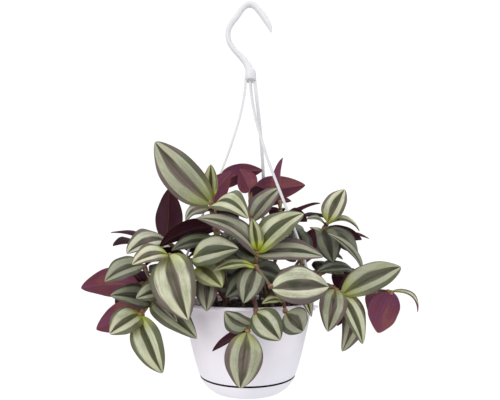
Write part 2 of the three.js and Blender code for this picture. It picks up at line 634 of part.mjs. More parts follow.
// Soil: peat up to just under the lip, a little higher in the middle, with a hole for each stem
let soil = turned([
  [0, 6.8], [39.6, 6.8], [48.8, 20.8], [53.8, 20.8], [64.6, 60], [70.3, 92.5],
  [40, 98.6], [0, 100.6],
]);
for (const { foot } of stems) {
  soil = soil.subtract(uprightPeg(foot[0], foot[1], HOLE_RADIUS, STEM_FOOT - HOLE_BELOW, HOLE_TOP, HOLE_SIDES));
}
addPiece('soil', soil, peat);
standing.push({ solid: soil, box: soil.boundingBox(), stem: -1 });

const bodies = stems.map(stemSolid);
bodies.forEach((solid, stem) => standing.push({ solid, box: solid.boundingBox(), stem, body: true }));

const LEAF_STEP = 0.22;          // leaves listed at one place stand this far under each other
stems.forEach(({ foot, route, leaves }, stem) => {
  leaves.forEach(([place, tipPlace, width, facingList, arch, fold], leaf) => {
    const above = leaves.slice(0, leaf).filter((other) => other[0] === place).length;
    const base = new THREE.Vector3(...stemPoint(foot, route, place - LEAF_STEP * above));
    const tip = new THREE.Vector3(...tipPlace);
    const facing = new THREE.Vector3(...facingList).normalize();
    const turn = TURNS.find((candidate) => {
      const newTip = turnedTip(base, tip, facing, candidate);
      const roomy = bladeSolid(base, newTip, width * candidate.size, facing, arch, fold, BLADE_ROOM);
      const box = roomy.boundingBox();
      return standing.every((other) => {
        if (other.stem === stem && other.body) return true;
        if (apart(box, other.box)) return true;
        const shared = roomy.intersect(other.solid).volume();
        return shared <= (other.stem === stem ? OWN_CROSSING : NO_CROSSING);
      });
    });
    if (!turn) return;
    const newTip = turnedTip(base, tip, facing, turn);
    const solid = bladeSolid(base, newTip, width * turn.size, facing, arch, fold, BLADE_THICKNESS);
    standing.push({ solid, box: solid.boundingBox(), stem });
  });
});

stems.forEach((_, stem) => {
  const parts = standing.filter((other) => other.stem === stem).map((other) => other.solid);
  const fused = parts.reduce((sum, part) => sum.add(part)).simplify(MERGE_TOLERANCE);
  // Hollows that the fusing seals are filled, and loose scraps are dropped
  const whole = fused.decompose().reduce((most, part) => (part.volume() > most.volume() ? part : most));
  const name = `leafy_stem_${String(stem + 1).padStart(2, '0')}`;
  addPiece(name, whole, stem % 3 ? foliage : darkFoliage);
});

export default plant;
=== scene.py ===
"""A silver-striped tradescantia in a white plastic hanging pot, with its saucer and its strap hanger."""
import math

import bpy
import numpy as np
from mathutils import Matrix, Vector, kdtree


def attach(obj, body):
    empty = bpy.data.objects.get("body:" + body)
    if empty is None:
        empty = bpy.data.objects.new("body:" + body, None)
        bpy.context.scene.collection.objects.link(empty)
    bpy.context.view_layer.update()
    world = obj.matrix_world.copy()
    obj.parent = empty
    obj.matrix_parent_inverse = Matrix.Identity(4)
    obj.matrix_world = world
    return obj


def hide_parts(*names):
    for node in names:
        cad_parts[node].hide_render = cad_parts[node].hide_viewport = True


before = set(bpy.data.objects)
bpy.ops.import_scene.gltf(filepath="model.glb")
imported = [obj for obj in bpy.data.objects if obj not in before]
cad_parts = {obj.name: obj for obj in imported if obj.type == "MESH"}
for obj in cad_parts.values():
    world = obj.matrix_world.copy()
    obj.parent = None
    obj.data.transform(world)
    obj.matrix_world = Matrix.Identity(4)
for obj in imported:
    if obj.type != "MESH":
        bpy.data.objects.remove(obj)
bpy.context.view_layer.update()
MM = 0.001

# Camera and studio
# The photograph was taken from close by, level with the leaves, with the frame shifted upward.
# The studio is a white floor and a white surround that only the camera sees, under soft light.
CAMERA_PLACE = (2.8 * MM, -430 * MM, 140.4 * MM)
CAMERA_LENS = 26.46
CAMERA_SENSOR = 36
CAMERA_SHIFT = 0.133
CAMERA_NEAR = 0.01
STUDIO_RADIUS = 6
FLOOR_HEIGHT = -0.3
WHITE_STRENGTH = 1.05
SKY_COLOUR = (0.98, 0.98, 1, 1)
SKY_STRENGTH = 0.9
SOFT_LIGHTS = {                  # place, aim, size, power
    "key_left": ((-0.7, -1.1, 0.8), (0, 0, 0.16), 1.4, 9),
    "fill_right": ((1.1, -0.8, 0.5), (0, 0, 0.15), 0.9, 2.6),
    "top": ((0.1, 0.2, 1.3), (0, 0, 0.2), 0.8, 3),
}

camera_data = bpy.data.cameras.new("photo_camera")
camera_data.lens = CAMERA_LENS
camera_data.sensor_width = CAMERA_SENSOR
camera_data.shift_y = CAMERA_SHIFT
camera_data.clip_start = CAMERA_NEAR
camera = bpy.data.objects.new("photo_camera", camera_data)
camera.location = CAMERA_PLACE
camera.rotation_euler = (math.radians(90), 0, 0)
bpy.context.scene.collection.objects.link(camera)
bpy.context.scene.camera = camera
bpy.context.scene.view_settings.view_transform = "Standard"

white_glow = bpy.data.materials.new("studio_white")
white_glow.use_nodes = True
white_glow.node_tree.nodes.clear()
glow = white_glow.node_tree.nodes.new("ShaderNodeEmission")
glow.inputs["Strength"].default_value = WHITE_STRENGTH
glow_out = white_glow.node_tree.nodes.new("ShaderNodeOutputMaterial")
white_glow.node_tree.links.new(glow.outputs[0], glow_out.inputs["Surface"])

bpy.ops.mesh.primitive_circle_add(vertices=64, radius=STUDIO_RADIUS, fill_type="NGON",
                                  location=(0, 0, FLOOR_HEIGHT))
floor = bpy.context.active_object
floor.name = "studio_floor"
bpy.ops.mesh.primitive_uv_sphere_add(segments=48, ring_count=24, radius=STUDIO_RADIUS)
surround = bpy.context.active_object
surround.name = "studio_surround"
for stage_piece in (floor, surround):
    stage_piece.data.materials.append(white_glow)
    stage_piece.visible_diffuse = False
    stage_piece.visible_glossy = False
    stage_piece.visible_shadow = False
    stage_piece.visible_transmission = False

world = bpy.data.worlds.new("studio")
bpy.context.scene.world = world
world.use_nodes = True
sky = world.node_tree.nodes["Background"]
sky.inputs["Color"].default_value = SKY_COLOUR
sky.inputs["Strength"].default_value = SKY_STRENGTH

for light_name, (place, aim, size, power) in SOFT_LIGHTS.items():
    light_data = bpy.data.lights.new(light_name, "AREA")
    light_data.shape = "DISK"
    light_data.size = size
    light_data.energy = power
    light = bpy.data.objects.new(light_name, light_data)
    light.location = place
    light.rotation_euler = (Vector(aim) - Vector(place)).to_track_quat("-Z", "Y").to_euler()
    bpy.context.scene.collection.objects.link(light)

# Saucer
# A shallow white cup, injection moulded in polypropylene, that clips under the pot and carries
# on its taper. Its floor is flat, and its edge is a thin plain lip.


class Wire:
    """A socket of a material's node tree. Python's operators on it add Math nodes."""

    def __init__(self, finish, socket):
        self.finish = finish
        self.socket = socket

    def maths(self, operation, *values):
        return self.finish.node("Math", {"operation": operation}, *values)

    def __add__(self, other):
        return self.maths("ADD", self, other)

    def __sub__(self, other):
        return self.maths("SUBTRACT", self, other)

    def __rsub__(self, other):
        return self.maths("SUBTRACT", other, self)

    def __mul__(self, other):
        return self.maths("MULTIPLY", self, other)

    def __pow__(self, other):
        return self.maths("POWER", self, other)

    def __abs__(self):
        return self.maths("ABSOLUTE", self)

    def step(self, low, high):
        """0 under low and 1 over high, with a smooth slope between them."""
        return self.finish.node("MapRange", {"interpolation_type": "SMOOTHSTEP"}, self, low, high)

    __radd__ = __add__
    __rmul__ = __mul__


class Finish:
    """A material on the Principled shader, put together by expressions."""

    def __init__(self, name, roughness=0.5, specular=0.5):
        self.material = bpy.data.materials.new(name)
        self.material.use_nodes = True
        self.tree = self.material.node_tree
        self.shader = self.tree.nodes["Principled BSDF"]
        self.shader.inputs["Roughness"].default_value = roughness
        self.shader.inputs["Specular IOR Level"].default_value = specular

    def feed(self, socket, value):
        if isinstance(value, Wire):
            self.tree.links.new(value.socket, socket)
        else:
            socket.default_value = value

    def node(self, kind, settings, *values, out=0, **named):
        """A node of a kind, with its settings, and its sockets' values in order or by name."""
        made = self.tree.nodes.new("ShaderNode" + kind)
        for setting, value in settings.items():
            setattr(made, setting, value)
        for socket, value in zip(made.inputs, values):
            self.feed(socket, value)
        for socket_name, value in named.items():
            self.feed(made.inputs[socket_name], value)
        return Wire(self, made.outputs[out])

    def mix(self, amount, first, second):
        """The first colour where amount is 0, the second where it is 1."""
        made = self.tree.nodes.new("ShaderNodeMix")
        made.data_type = "RGBA"
        self.feed(made.inputs[0], amount)
        for index, colour in ((6, first), (7, second)):      # the node's two sockets for colours
            self.feed(made.inputs[index], colour if isinstance(colour, Wire) else (*colour, 1))
        return Wire(self, made.outputs[2])

    def noise(self, where, scale, detail=2.0):
        return self.node("TexNoise", {}, Vector=where, Scale=scale, Detail=detail)

    def place(self):
        return self.node("TexCoord", {}, out="Object")

    def set(self, socket_name, wire):
        self.tree.links.new(wire.socket, self.shader.inputs[socket_name])

    def bump(self, height, distance, strength=1.0):
        self.set("Normal", self.node("Bump", {}, Height=height, Distance=distance, Strength=strength))


def srgb(red, green, blue):
    """A colour of 0 to 255 as the shader's linear numbers."""
    shares = [value / 255 for value in (red, green, blue)]
    return tuple(share / 12.92 if share <= 0.04 else ((share + 0.055) / 1.055) ** 2.4 for share in shares)


def moulded_plastic(name, pale, cool, roughness):
    """Plastic in two near shades that cloud into each other, with a fine grain in its gloss."""
    finish = Finish(name, roughness)
    where = finish.place()
    cloud = finish.noise(where, scale=14.0)
    grain = finish.noise(where, scale=900.0)
    finish.set("Base Color", finish.mix(cloud.step(0.35, 0.7), pale, cool))
    finish.set("Roughness", roughness + 0.1 * grain)
    finish.bump(cloud, distance=0.0003, strength=0.2)
    return finish.material


def work_on(piece):
    """Selects one piece and nothing else, so that operators act on it."""
    bpy.ops.object.select_all(action="DESELECT")
    piece.select_set(True)
    bpy.context.view_layer.objects.active = piece


def spun(name, section, steps=144):
    """A piece turned on the pot's axis from its closed section of (radius, height) in millimetres."""
    mesh = bpy.data.meshes.new(name)
    corners = [(r * MM, 0, z * MM) for r, z in section]
    mesh.from_pydata(corners, [(i, i + 1) for i in range(len(section) - 1)], [])
    piece = bpy.data.objects.new(name, mesh)
    bpy.context.scene.collection.objects.link(piece)
    work_on(piece)
    bpy.ops.object.mode_set(mode="EDIT")
    bpy.ops.mesh.select_all(action="SELECT")
    bpy.ops.mesh.spin(steps=steps, angle=2 * math.pi, center=(0, 0, 0), axis=(0, 0, 1))
    bpy.ops.mesh.select_all(action="SELECT")
    bpy.ops.mesh.remove_doubles(threshold=1e-6)
    bpy.ops.mesh.normals_make_consistent(inside=False)
    bpy.ops.object.mode_set(mode="OBJECT")
    return piece


def apply_modifier(piece, kind, **settings):
    work_on(piece)
    modifier = piece.modifiers.new(kind.title(), kind)
    for setting, value in settings.items():
        setattr(modifier, setting, value)
    bpy.ops.object.modifier_apply(modifier=modifier.name)


def smooth(piece, degrees):
    work_on(piece)
    bpy.ops.object.shade_smooth_by_angle(angle=math.radians(degrees))


def dress(piece, *materials):
    """Gives a piece its materials, all of its faces the first one."""
    piece.data.materials.clear()
    for material in materials:
        piece.data.materials.append(material)


SAUCER_SECTION = [
    (0, 0), (40.4, 0), (42.2, 0.5), (43.8, 1.6), (48, 5), (52, 10), (55.2, 15.4), (55.1, 16.1), (54.6, 16.3),
    (53.8, 16.1), (50.3, 10.6), (46.3, 5.6), (42.2, 2.1), (41.2, 2), (0, 2),
]
SHADE_FOOT = 1.9                 # the saucer's inside is painted dark as shade, over this height
SHADE_CONE = (41.6, 0.83)        # and within a cone of this radius at height 0 and this growth with height

pot_white = moulded_plastic("pot_white", srgb(240, 235, 240), srgb(228, 226, 233), 0.34)
# Painted shade: a dark brown-grey plastic stands for the shade down in the seam between the pot and the
# saucer.
seam_shade = moulded_plastic("seam_shade_paint", srgb(66, 58, 52), srgb(48, 42, 38), 0.6)
saucer = spun("saucer_shell", SAUCER_SECTION)
smooth(saucer, 30)
dress(saucer, pot_white, seam_shade)
# Painted shade: the saucer's inner faces take the dark colour.
for face in saucer.data.polygons:
    cone_radius = SHADE_CONE[0] + SHADE_CONE[1] * face.center.z / MM
    if face.center.z > SHADE_FOOT * MM and math.hypot(face.center.x, face.center.y) < cone_radius * MM:
        face.material_index = 1
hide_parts("saucer")
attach(saucer, "root")

# Pot
# A tapering white pot in the same plastic, about 15 cm over its rolled lip. Its foot stands in the
# saucer, drain holes go through its floor, and three slotted ears at the lip take the straps.
POT_SECTION = [
    (4, 4.3), (38.4, 4.3), (39, 2.3), (41.4, 2.3), (50.8, 18.2), (55.6, 18.2), (56.1, 18.8),
    (59.4, 29), (62.4, 40), (64.8, 50), (66.9, 60), (68.9, 69), (70.8, 78), (72.1, 87), (73, 95.4),
    (73.5, 96.6), (75.6, 96.9), (76.3, 97.4), (76.5, 98.4), (76.3, 99.5), (75.6, 100.3), (74.6, 100.5),
    (73.2, 100.4), (72, 99.8), (71.4, 98.4), (70.3, 88), (69, 78), (65.1, 60), (60.6, 40), (54.3, 20.2),
    (49.2, 20.2), (40.2, 6.3), (4, 6.3), (4, 4.3),
]
SEAM_FOOT = 18.3                 # under this height the pot's foot, down in the saucer, is painted dark as shade
DRAIN_HOLES = 5
DRAIN_CIRCLE = 29
DRAIN_RADIUS = 5
DRAIN_DEPTH = 12                 # of the cutter that makes a hole, and the height of its middle
DRAIN_HEIGHT = 6
EAR_ANGLES = (-36, 84, 204)
EAR_SIZE = (14, 9, 2.6)
EAR_PLACE = (81, 98.7)           # radius and height of its middle
EAR_ROUNDING = 0.9
SLOT_SIZE = (2.5, 4.7, 8)
SLOT_RADIUS = 83.5


def box_at(size, angle, radius, height):
    """A box of (outward, sideways, upward) millimetres at an angle and a distance from the pot's axis."""
    bpy.ops.mesh.primitive_cube_add(size=1)
    made = bpy.context.active_object
    turn = Matrix.Rotation(math.radians(angle), 4, "Z")
    shape = Matrix.Diagonal((*[side * MM for side in size], 1))
    made.data.transform(turn @ Matrix.Translation((radius * MM, 0, height * MM)) @ shape)
    return made


def cut(piece, tool):
    apply_modifier(piece, "BOOLEAN", operation="DIFFERENCE", solver="EXACT", object=tool)
    bpy.data.objects.remove(tool)


def join(pieces, name):
    work_on(pieces[0])
    for piece in pieces[1:]:
        piece.select_set(True)
    bpy.ops.object.join()
    pieces[0].name = name
    return pieces[0]


pot = spun("pot_shell", POT_SECTION)
for i in range(DRAIN_HOLES):
    drain_angle = 2 * math.pi * (i + 0.5) / DRAIN_HOLES
    bpy.ops.mesh.primitive_cylinder_add(vertices=24, radius=DRAIN_RADIUS * MM, depth=DRAIN_DEPTH * MM)
    drain = bpy.context.active_object
    drain_at = (DRAIN_CIRCLE * math.cos(drain_angle), DRAIN_CIRCLE * math.sin(drain_angle), DRAIN_HEIGHT)
    drain.data.transform(Matrix.Translation(Vector(drain_at) * MM))
    cut(pot, drain)
ears = []
for ear_angle in EAR_ANGLES:
    ear = box_at(EAR_SIZE, ear_angle, *EAR_PLACE)
    apply_modifier(ear, "BEVEL", width=EAR_ROUNDING * MM, segments=3)
    cut(ear, box_at(SLOT_SIZE, ear_angle, SLOT_RADIUS, EAR_PLACE[1]))
    ears.append(ear)
pot = join([pot, *ears], "pot_shell")
smooth(pot, 30)
dress(pot, pot_white, seam_shade)
# Painted shade: the pot's foot inside the saucer takes the dark colour.
for face in pot.data.polygons:
    face.material_index = int(face.center.z < SEAM_FOOT * MM)
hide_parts("pot")
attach(pot, "root")

# Soil
# Damp, near-black peat with coarse fibres, heaped a little in the middle and pressed down at the
# wall. It is made as a lumpy crust, since the rest lies hidden in the pot, and loose crumbs lie on it.
SOIL_LEVELS = ((0, 100.6), (40, 98.6), (70.3, 92.5))     # radius and height
SOIL_RADIUS = 70
SOIL_CUTS = 14                   # of each edge of the first fan of triangles
LUMP_SIZE = 6
LUMP_HEIGHT = 2.6
LUMP_SINK = 0.8                  # the share of that height under the smooth surface
CRUST = 3
CRUMBS = 420
CRUMB_REACH = 67
CRUMB_SIZES = (0.5, 1.5)
CRUMB_STRETCHES = (0.7, 1.5)
CRUMB_FLATNESS = 0.7
CRUMB_SINK = 0.4
SEED = 7                         # of the draws for the crumbs and for the leaves' tones


def soil_height(radius):
    radii, heights = zip(*SOIL_LEVELS)
    return float(np.interp(radius, radii, heights))


peat = Finish("peat", 0.95, 0.2)
peat_place = peat.place()
clods = peat.noise(peat_place, 220.0, 6.0)
fibres = peat.noise(peat_place, 900.0, 3.0)
peat.set("Base Color", peat.mix(clods.step(0.35, 0.75), srgb(16, 12, 10), srgb(58, 44, 34)))
peat.bump(clods + 0.4 * fibres, 0.0012)

bpy.ops.mesh.primitive_circle_add(vertices=96, radius=SOIL_RADIUS * MM, fill_type="TRIFAN")
soil = bpy.context.active_object
bpy.ops.object.mode_set(mode="EDIT")
bpy.ops.mesh.select_all(action="SELECT")
bpy.ops.mesh.subdivide(number_cuts=SOIL_CUTS)
bpy.ops.object.mode_set(mode="OBJECT")
for vertex in soil.data.vertices:
    vertex.co.z = soil_height(math.hypot(vertex.co.x, vertex.co.y) / MM) * MM
lumps = bpy.data.textures.new("peat_lumps", "CLOUDS")
lumps.noise_scale = LUMP_SIZE * MM
apply_modifier(soil, "DISPLACE", texture=lumps, strength=LUMP_HEIGHT * MM, mid_level=LUMP_SINK, direction="Z")
apply_modifier(soil, "SOLIDIFY", thickness=CRUST * MM, offset=-1)

bpy.ops.mesh.primitive_ico_sphere_add(subdivisions=1, radius=1)
crumb = bpy.context.active_object
rng = np.random.default_rng(SEED)
crumb_pieces = []
for _ in range(CRUMBS):
    angle = rng.uniform(0, 2 * math.pi)
    radius = CRUMB_REACH * math.sqrt(rng.uniform(0, 1))
    size = rng.uniform(*CRUMB_SIZES) * MM
    squeeze = Matrix.Diagonal((size * rng.uniform(*CRUMB_STRETCHES), size, size * CRUMB_FLATNESS, 1))
    turn = Matrix.Rotation(rng.uniform(0, math.pi), 4, "Z")
    height = soil_height(radius) - CRUMB_SINK
    spot = Matrix.Translation((radius * MM * math.cos(angle), radius * MM * math.sin(angle), height * MM))
    copy = bpy.data.objects.new("crumb", crumb.data.copy())
    copy.data.transform(spot @ turn @ squeeze)
    bpy.context.scene.collection.objects.link(copy)
    crumb_pieces.append(copy)
bpy.data.objects.remove(crumb)
soil = join([soil, *crumb_pieces], "soil_surface")
smooth(soil, 60)
dress(soil, peat.material)
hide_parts("soil")
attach(soil, "root")

# Hanger
# One white moulding in flexible plastic: a round hook on a small hub, and three flat straps that
# spread over the leaves, drop through the ears and end in toggles that bear up under them.
HUB_X = 3.5
HUB_SECTION = [
    (0, 357.4), (5.2, 357.4), (6, 357.8), (6.4, 358.6), (6.4, 366), (6.1, 368), (5.2, 369.8), (3.6, 370.7),
    (0, 371),
]
HUB_STEPS = 48
HOOK_LINE = (                    # x and height
    (3.5, 366), (1.4, 373), (-2.6, 380), (-9.6, 387.8), (-16.6, 395.4), (-21, 402.4), (-22.8, 409.4),
    (-22.4, 417.1), (-19.2, 424.1), (-12.2, 433.3), (-6.6, 441.7), (-1.6, 446.2), (3.3, 447.4),
    (8.2, 445.6), (13.1, 440.5), (18, 434.1), (22.9, 426.5), (26.2, 420.1), (27.6, 414.8),
)
HOOK_SIDES = 20
HOOK_STEPS = 96
HOOK_RADIUS = 3                  # at its slimmest, half way up the back
HOOK_ROOT = (0.25, 2.8)          # the share of the hook that widens down into the hub, and by how much
HOOK_ARM = (0.4, 0.3, 0.6)       # from this place, over this share, it grows by this much
HOOK_TIP = (0.84, 2.8)           # where the tip's taper starts, and how much it takes off
STRAP_LINE = (                   # radius and height
    (0, 362), (0.6, 353), (2.4, 339), (8, 314), (15.6, 290), (26.5, 260), (44, 220), (61, 181), (71, 155),
    (78.5, 130), (82.6, 112), (83.5, 104), (83.5, 98), (83.5, 94.6),
)
STRAP_STEPS = 90
STRAP_SIZE = (4, 1.8)
STRAP_ROUNDING = 0.35
STRAP_STARTS = (3, 8, -2)        # how far along X each ear's strap leaves the hub
STRAP_SWAYS = (0, 12, 0)         # and how far along X it bows out half way
SWAY_HEIGHTS = (104, 360)        # of the ears and of the hub, between which it does so
TOGGLE_SIZE = (3, 7.4, 2.4)
TOGGLE_HEIGHT = 95.9
TOGGLE_ROUNDING = 0.8


def unit(vector):
    return vector / np.linalg.norm(vector, axis=-1, keepdims=True)


def smooth_line(points, steps):
    """A smooth line through a list of points, whose steps are shared out evenly over the list."""
    points = np.array(points, float)
    gaps = np.linalg.norm(np.diff(points, axis=0), axis=1) ** 0.5
    padded = np.vstack([2 * points[0] - points[1], points, 2 * points[-1] - points[-2]])
    gaps = np.concatenate([[gaps[0]], gaps, [gaps[-1]]])
    made = []
    for place in np.linspace(0, len(points) - 1, steps + 1):
        span = min(int(place), len(points) - 2)
        w = place - span
        p0, p1, p2, p3 = padded[span:span + 4]
        d0, d1, d2 = gaps[span:span + 3]
        t1 = ((p1 - p0) / d0 - (p2 - p0) / (d0 + d1) + (p2 - p1) / d1) * d1
        t2 = ((p2 - p1) / d1 - (p3 - p1) / (d1 + d2) + (p3 - p2) / d2) * d1
        square = 3 * p2 - 3 * p1 - 2 * t1 - t2
        made.append(p1 + t1 * w + square * w ** 2 + (2 * p1 - 2 * p2 + t1 + t2) * w ** 3)
    return np.array(made)


def cut_in_rings(piece, rings):
    """Cuts a straight master's edges along Z, and no others, so that it can bend."""
    work_on(piece)
    bpy.ops.object.mode_set(mode="EDIT")
    bpy.ops.mesh.select_mode(type="EDGE")
    bpy.ops.mesh.select_all(action="DESELECT")
    bpy.ops.object.mode_set(mode="OBJECT")
    for edge in piece.data.edges:
        ends = [piece.data.vertices[i].co.z for i in edge.vertices]
        edge.select = abs(ends[0] - ends[1]) > 0.5
    bpy.ops.object.mode_set(mode="EDIT")
    bpy.ops.mesh.subdivide(number_cuts=rings - 1)
    bpy.ops.object.mode_set(mode="OBJECT")


def straight_bar(name, sides, rings):
    """A round master of radius 1, whose Z runs from 0 to 1."""
    bpy.ops.mesh.primitive_cylinder_add(vertices=sides, radius=1, depth=1)
    made = bpy.context.active_object
    made.name = name
    made.data.transform(Matrix.Translation((0, 0, 0.5)))
    cut_in_rings(made, rings)
    return made


def bent_along(master, name, points, across, out):
    """A copy of a straight master piece, whose Z from 0 to 1 runs along the points. Its X and Y, in
    millimetres, lie along the directions across and out."""
    piece = bpy.data.objects.new(name, master.data.copy())
    bpy.context.scene.collection.objects.link(piece)
    flat = np.zeros(3 * len(piece.data.vertices))
    piece.data.vertices.foreach_get("co", flat)
    flat = flat.reshape(-1, 3)
    where = flat[:, 2] * (len(points) - 1)
    stations = np.arange(len(points))

    def pick(values):
        return np.stack([np.interp(where, stations, values[:, k]) for k in range(3)], axis=1)

    bent = pick(points) + pick(across) * flat[:, :1] + pick(out) * flat[:, 1:2]
    piece.data.vertices.foreach_set("co", (bent * MM).ravel())
    return piece


hanger_white = moulded_plastic("hanger_white", srgb(216, 215, 217), srgb(206, 205, 208), 0.42)
hub = spun("hub", HUB_SECTION, HUB_STEPS)
hub.data.transform(Matrix.Translation((HUB_X * MM, 0, 0)))

round_bar = straight_bar("round_bar", HOOK_SIDES, HOOK_STEPS)
hook_points = smooth_line([(x, 0, z) for x, z in HOOK_LINE], HOOK_STEPS)
hook_way = unit(np.gradient(hook_points, axis=0))
hook_across = np.tile([0.0, 1.0, 0.0], (HOOK_STEPS + 1, 1))
hook_place = np.linspace(0, 1, HOOK_STEPS + 1)[:, None]
widened = HOOK_ROOT[1] * np.clip(1 - hook_place / HOOK_ROOT[0], 0, None) ** 2
grown = HOOK_ARM[2] * np.clip((hook_place - HOOK_ARM[0]) / HOOK_ARM[1], 0, 1)
tapered = HOOK_TIP[1] * np.clip((hook_place - HOOK_TIP[0]) / (1 - HOOK_TIP[0]), 0, None) ** 2
hook_radius = HOOK_RADIUS + widened + grown - tapered
hook = bent_along(round_bar, "hook", hook_points, hook_across * hook_radius,
                  np.cross(hook_way, hook_across) * hook_radius)

bpy.ops.mesh.primitive_cube_add(size=1)
flat_strap = bpy.context.active_object
flat_strap.data.transform(Matrix.Translation((0, 0, 0.5)) @ Matrix.Diagonal((*STRAP_SIZE, 1, 1)))
apply_modifier(flat_strap, "BEVEL", width=STRAP_ROUNDING, segments=2, limit_method="ANGLE")
for vertex in flat_strap.data.vertices:      # only the long edges keep their rounding
    vertex.co.z = round(vertex.co.z)
bpy.ops.object.mode_set(mode="EDIT")
bpy.ops.mesh.select_all(action="SELECT")
bpy.ops.mesh.remove_doubles(threshold=1e-5)
bpy.ops.object.mode_set(mode="OBJECT")
cut_in_rings(flat_strap, STRAP_STEPS)

hanger_parts = [hub, hook]
strap_points = smooth_line([(r, 0, z) for r, z in STRAP_LINE], STRAP_STEPS)
rise = np.clip((strap_points[:, 2] - SWAY_HEIGHTS[0]) / (SWAY_HEIGHTS[1] - SWAY_HEIGHTS[0]), 0, None)
bow = np.sin(math.pi * np.clip(rise, 0, 1))
for strap_angle, start, sway in zip(EAR_ANGLES, STRAP_STARTS, STRAP_SWAYS):
    outward = np.array([math.cos(math.radians(strap_angle)), math.sin(math.radians(strap_angle)), 0])
    sideways = np.array([-outward[1], outward[0], 0])
    shift = start * rise + sway * bow
    route = outward * strap_points[:, :1] + np.stack([shift, 0 * shift, strap_points[:, 2]], axis=1)
    across = np.tile(sideways, (len(route), 1))
    strap = bent_along(flat_strap, "strap", route, across, np.cross(unit(np.gradient(route, axis=0)), across))
    toggle = box_at(TOGGLE_SIZE, strap_angle, SLOT_RADIUS, TOGGLE_HEIGHT)
    apply_modifier(toggle, "BEVEL", width=TOGGLE_ROUNDING * MM, segments=3)
    hanger_parts += [strap, toggle]
for master in (round_bar, flat_strap):
    bpy.data.objects.remove(master)
hanger = join(hanger_parts, "hanger_moulding")
smooth(hanger, 40)
dress(hanger, hanger_white)
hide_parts("hanger")
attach(hanger, "root")

# Leafy stems
# Each stem is fleshy and jointed, and its leaves clasp it one by one with a papery sheath. A leaf
# is a pointed oval about 6 cm long, two silver bands on green and purple above, wine red below.
STEM_RADIUS = 1.9
STEM_FOOT = 80
TAPER_START = 0.4                # a stem keeps its radius up to this share of its length
TAPER = 0.3                      # and from there slims at a rate of this share of it per length
SOIL_EXIT = 103
UPRIGHT_RUN = 8                  # from this far under that, a stem runs straight up
STALK_SIDES = 12
STALK_RINGS = 60
FIRST_SIDE = (0.31, 0.83, 0.46)  # a direction that no stem starts along
NODE_SWELL = 0.35                # how much thicker the stem is at each leaf
NODE_LENGTH = 0.05               # and how far along its route
SHEATH_RINGS = 6
SHEATH_SPANS = (0.34, 0.03)      # a sheath clasps the stem from this far under its leaf to this far
SHEATH_RADII = np.array([1.9, 2.25, 2.5, 2.65, 2.75, 2.6, 1.8])
PLAIN_VALUES = (0.5, 0, 0, 0)    # a stem's and a sheath's, in place of a leaf's tone and look
LEAF_STEP = 0.22                 # leaves listed at one place stand this far under each other
BLADE_CELLS = (16, 30)
MIDRIB_CROWDING = 1.25           # the power that draws the blade's long cuts to its midrib
END_CROWDING = 0.09              # how far its cross cuts are drawn to the root and the tip
OVAL_LEAN = 0.82                 # under 1 the blade is widest nearer to its root
OVAL_FULLNESS = 0.72             # under 1 its ends are fuller
ROOT_HALF = 0.8                  # half the blade's width where it leaves the middle of the stem
TIP_HALF = 0.12
BLADE_THICKNESS = 0.55
EDGE_THINNING = 0.55             # the share of the thickness that is gone at the edge
BLADE_CROWN = 0.34               # how far each half of a blade swells, as a share of half its width
CROWN_START = 1 / 6              # and the share of the blade's length over which that sets in
MIDRIB_GROOVE = 0.25
MIDRIB_HALF = 0.07               # a share of half the blade's width
WAVE_HEIGHT = 0.026              # of the waved edge, as a share of the blade's width
WAVES = 2.1                      # on each edge

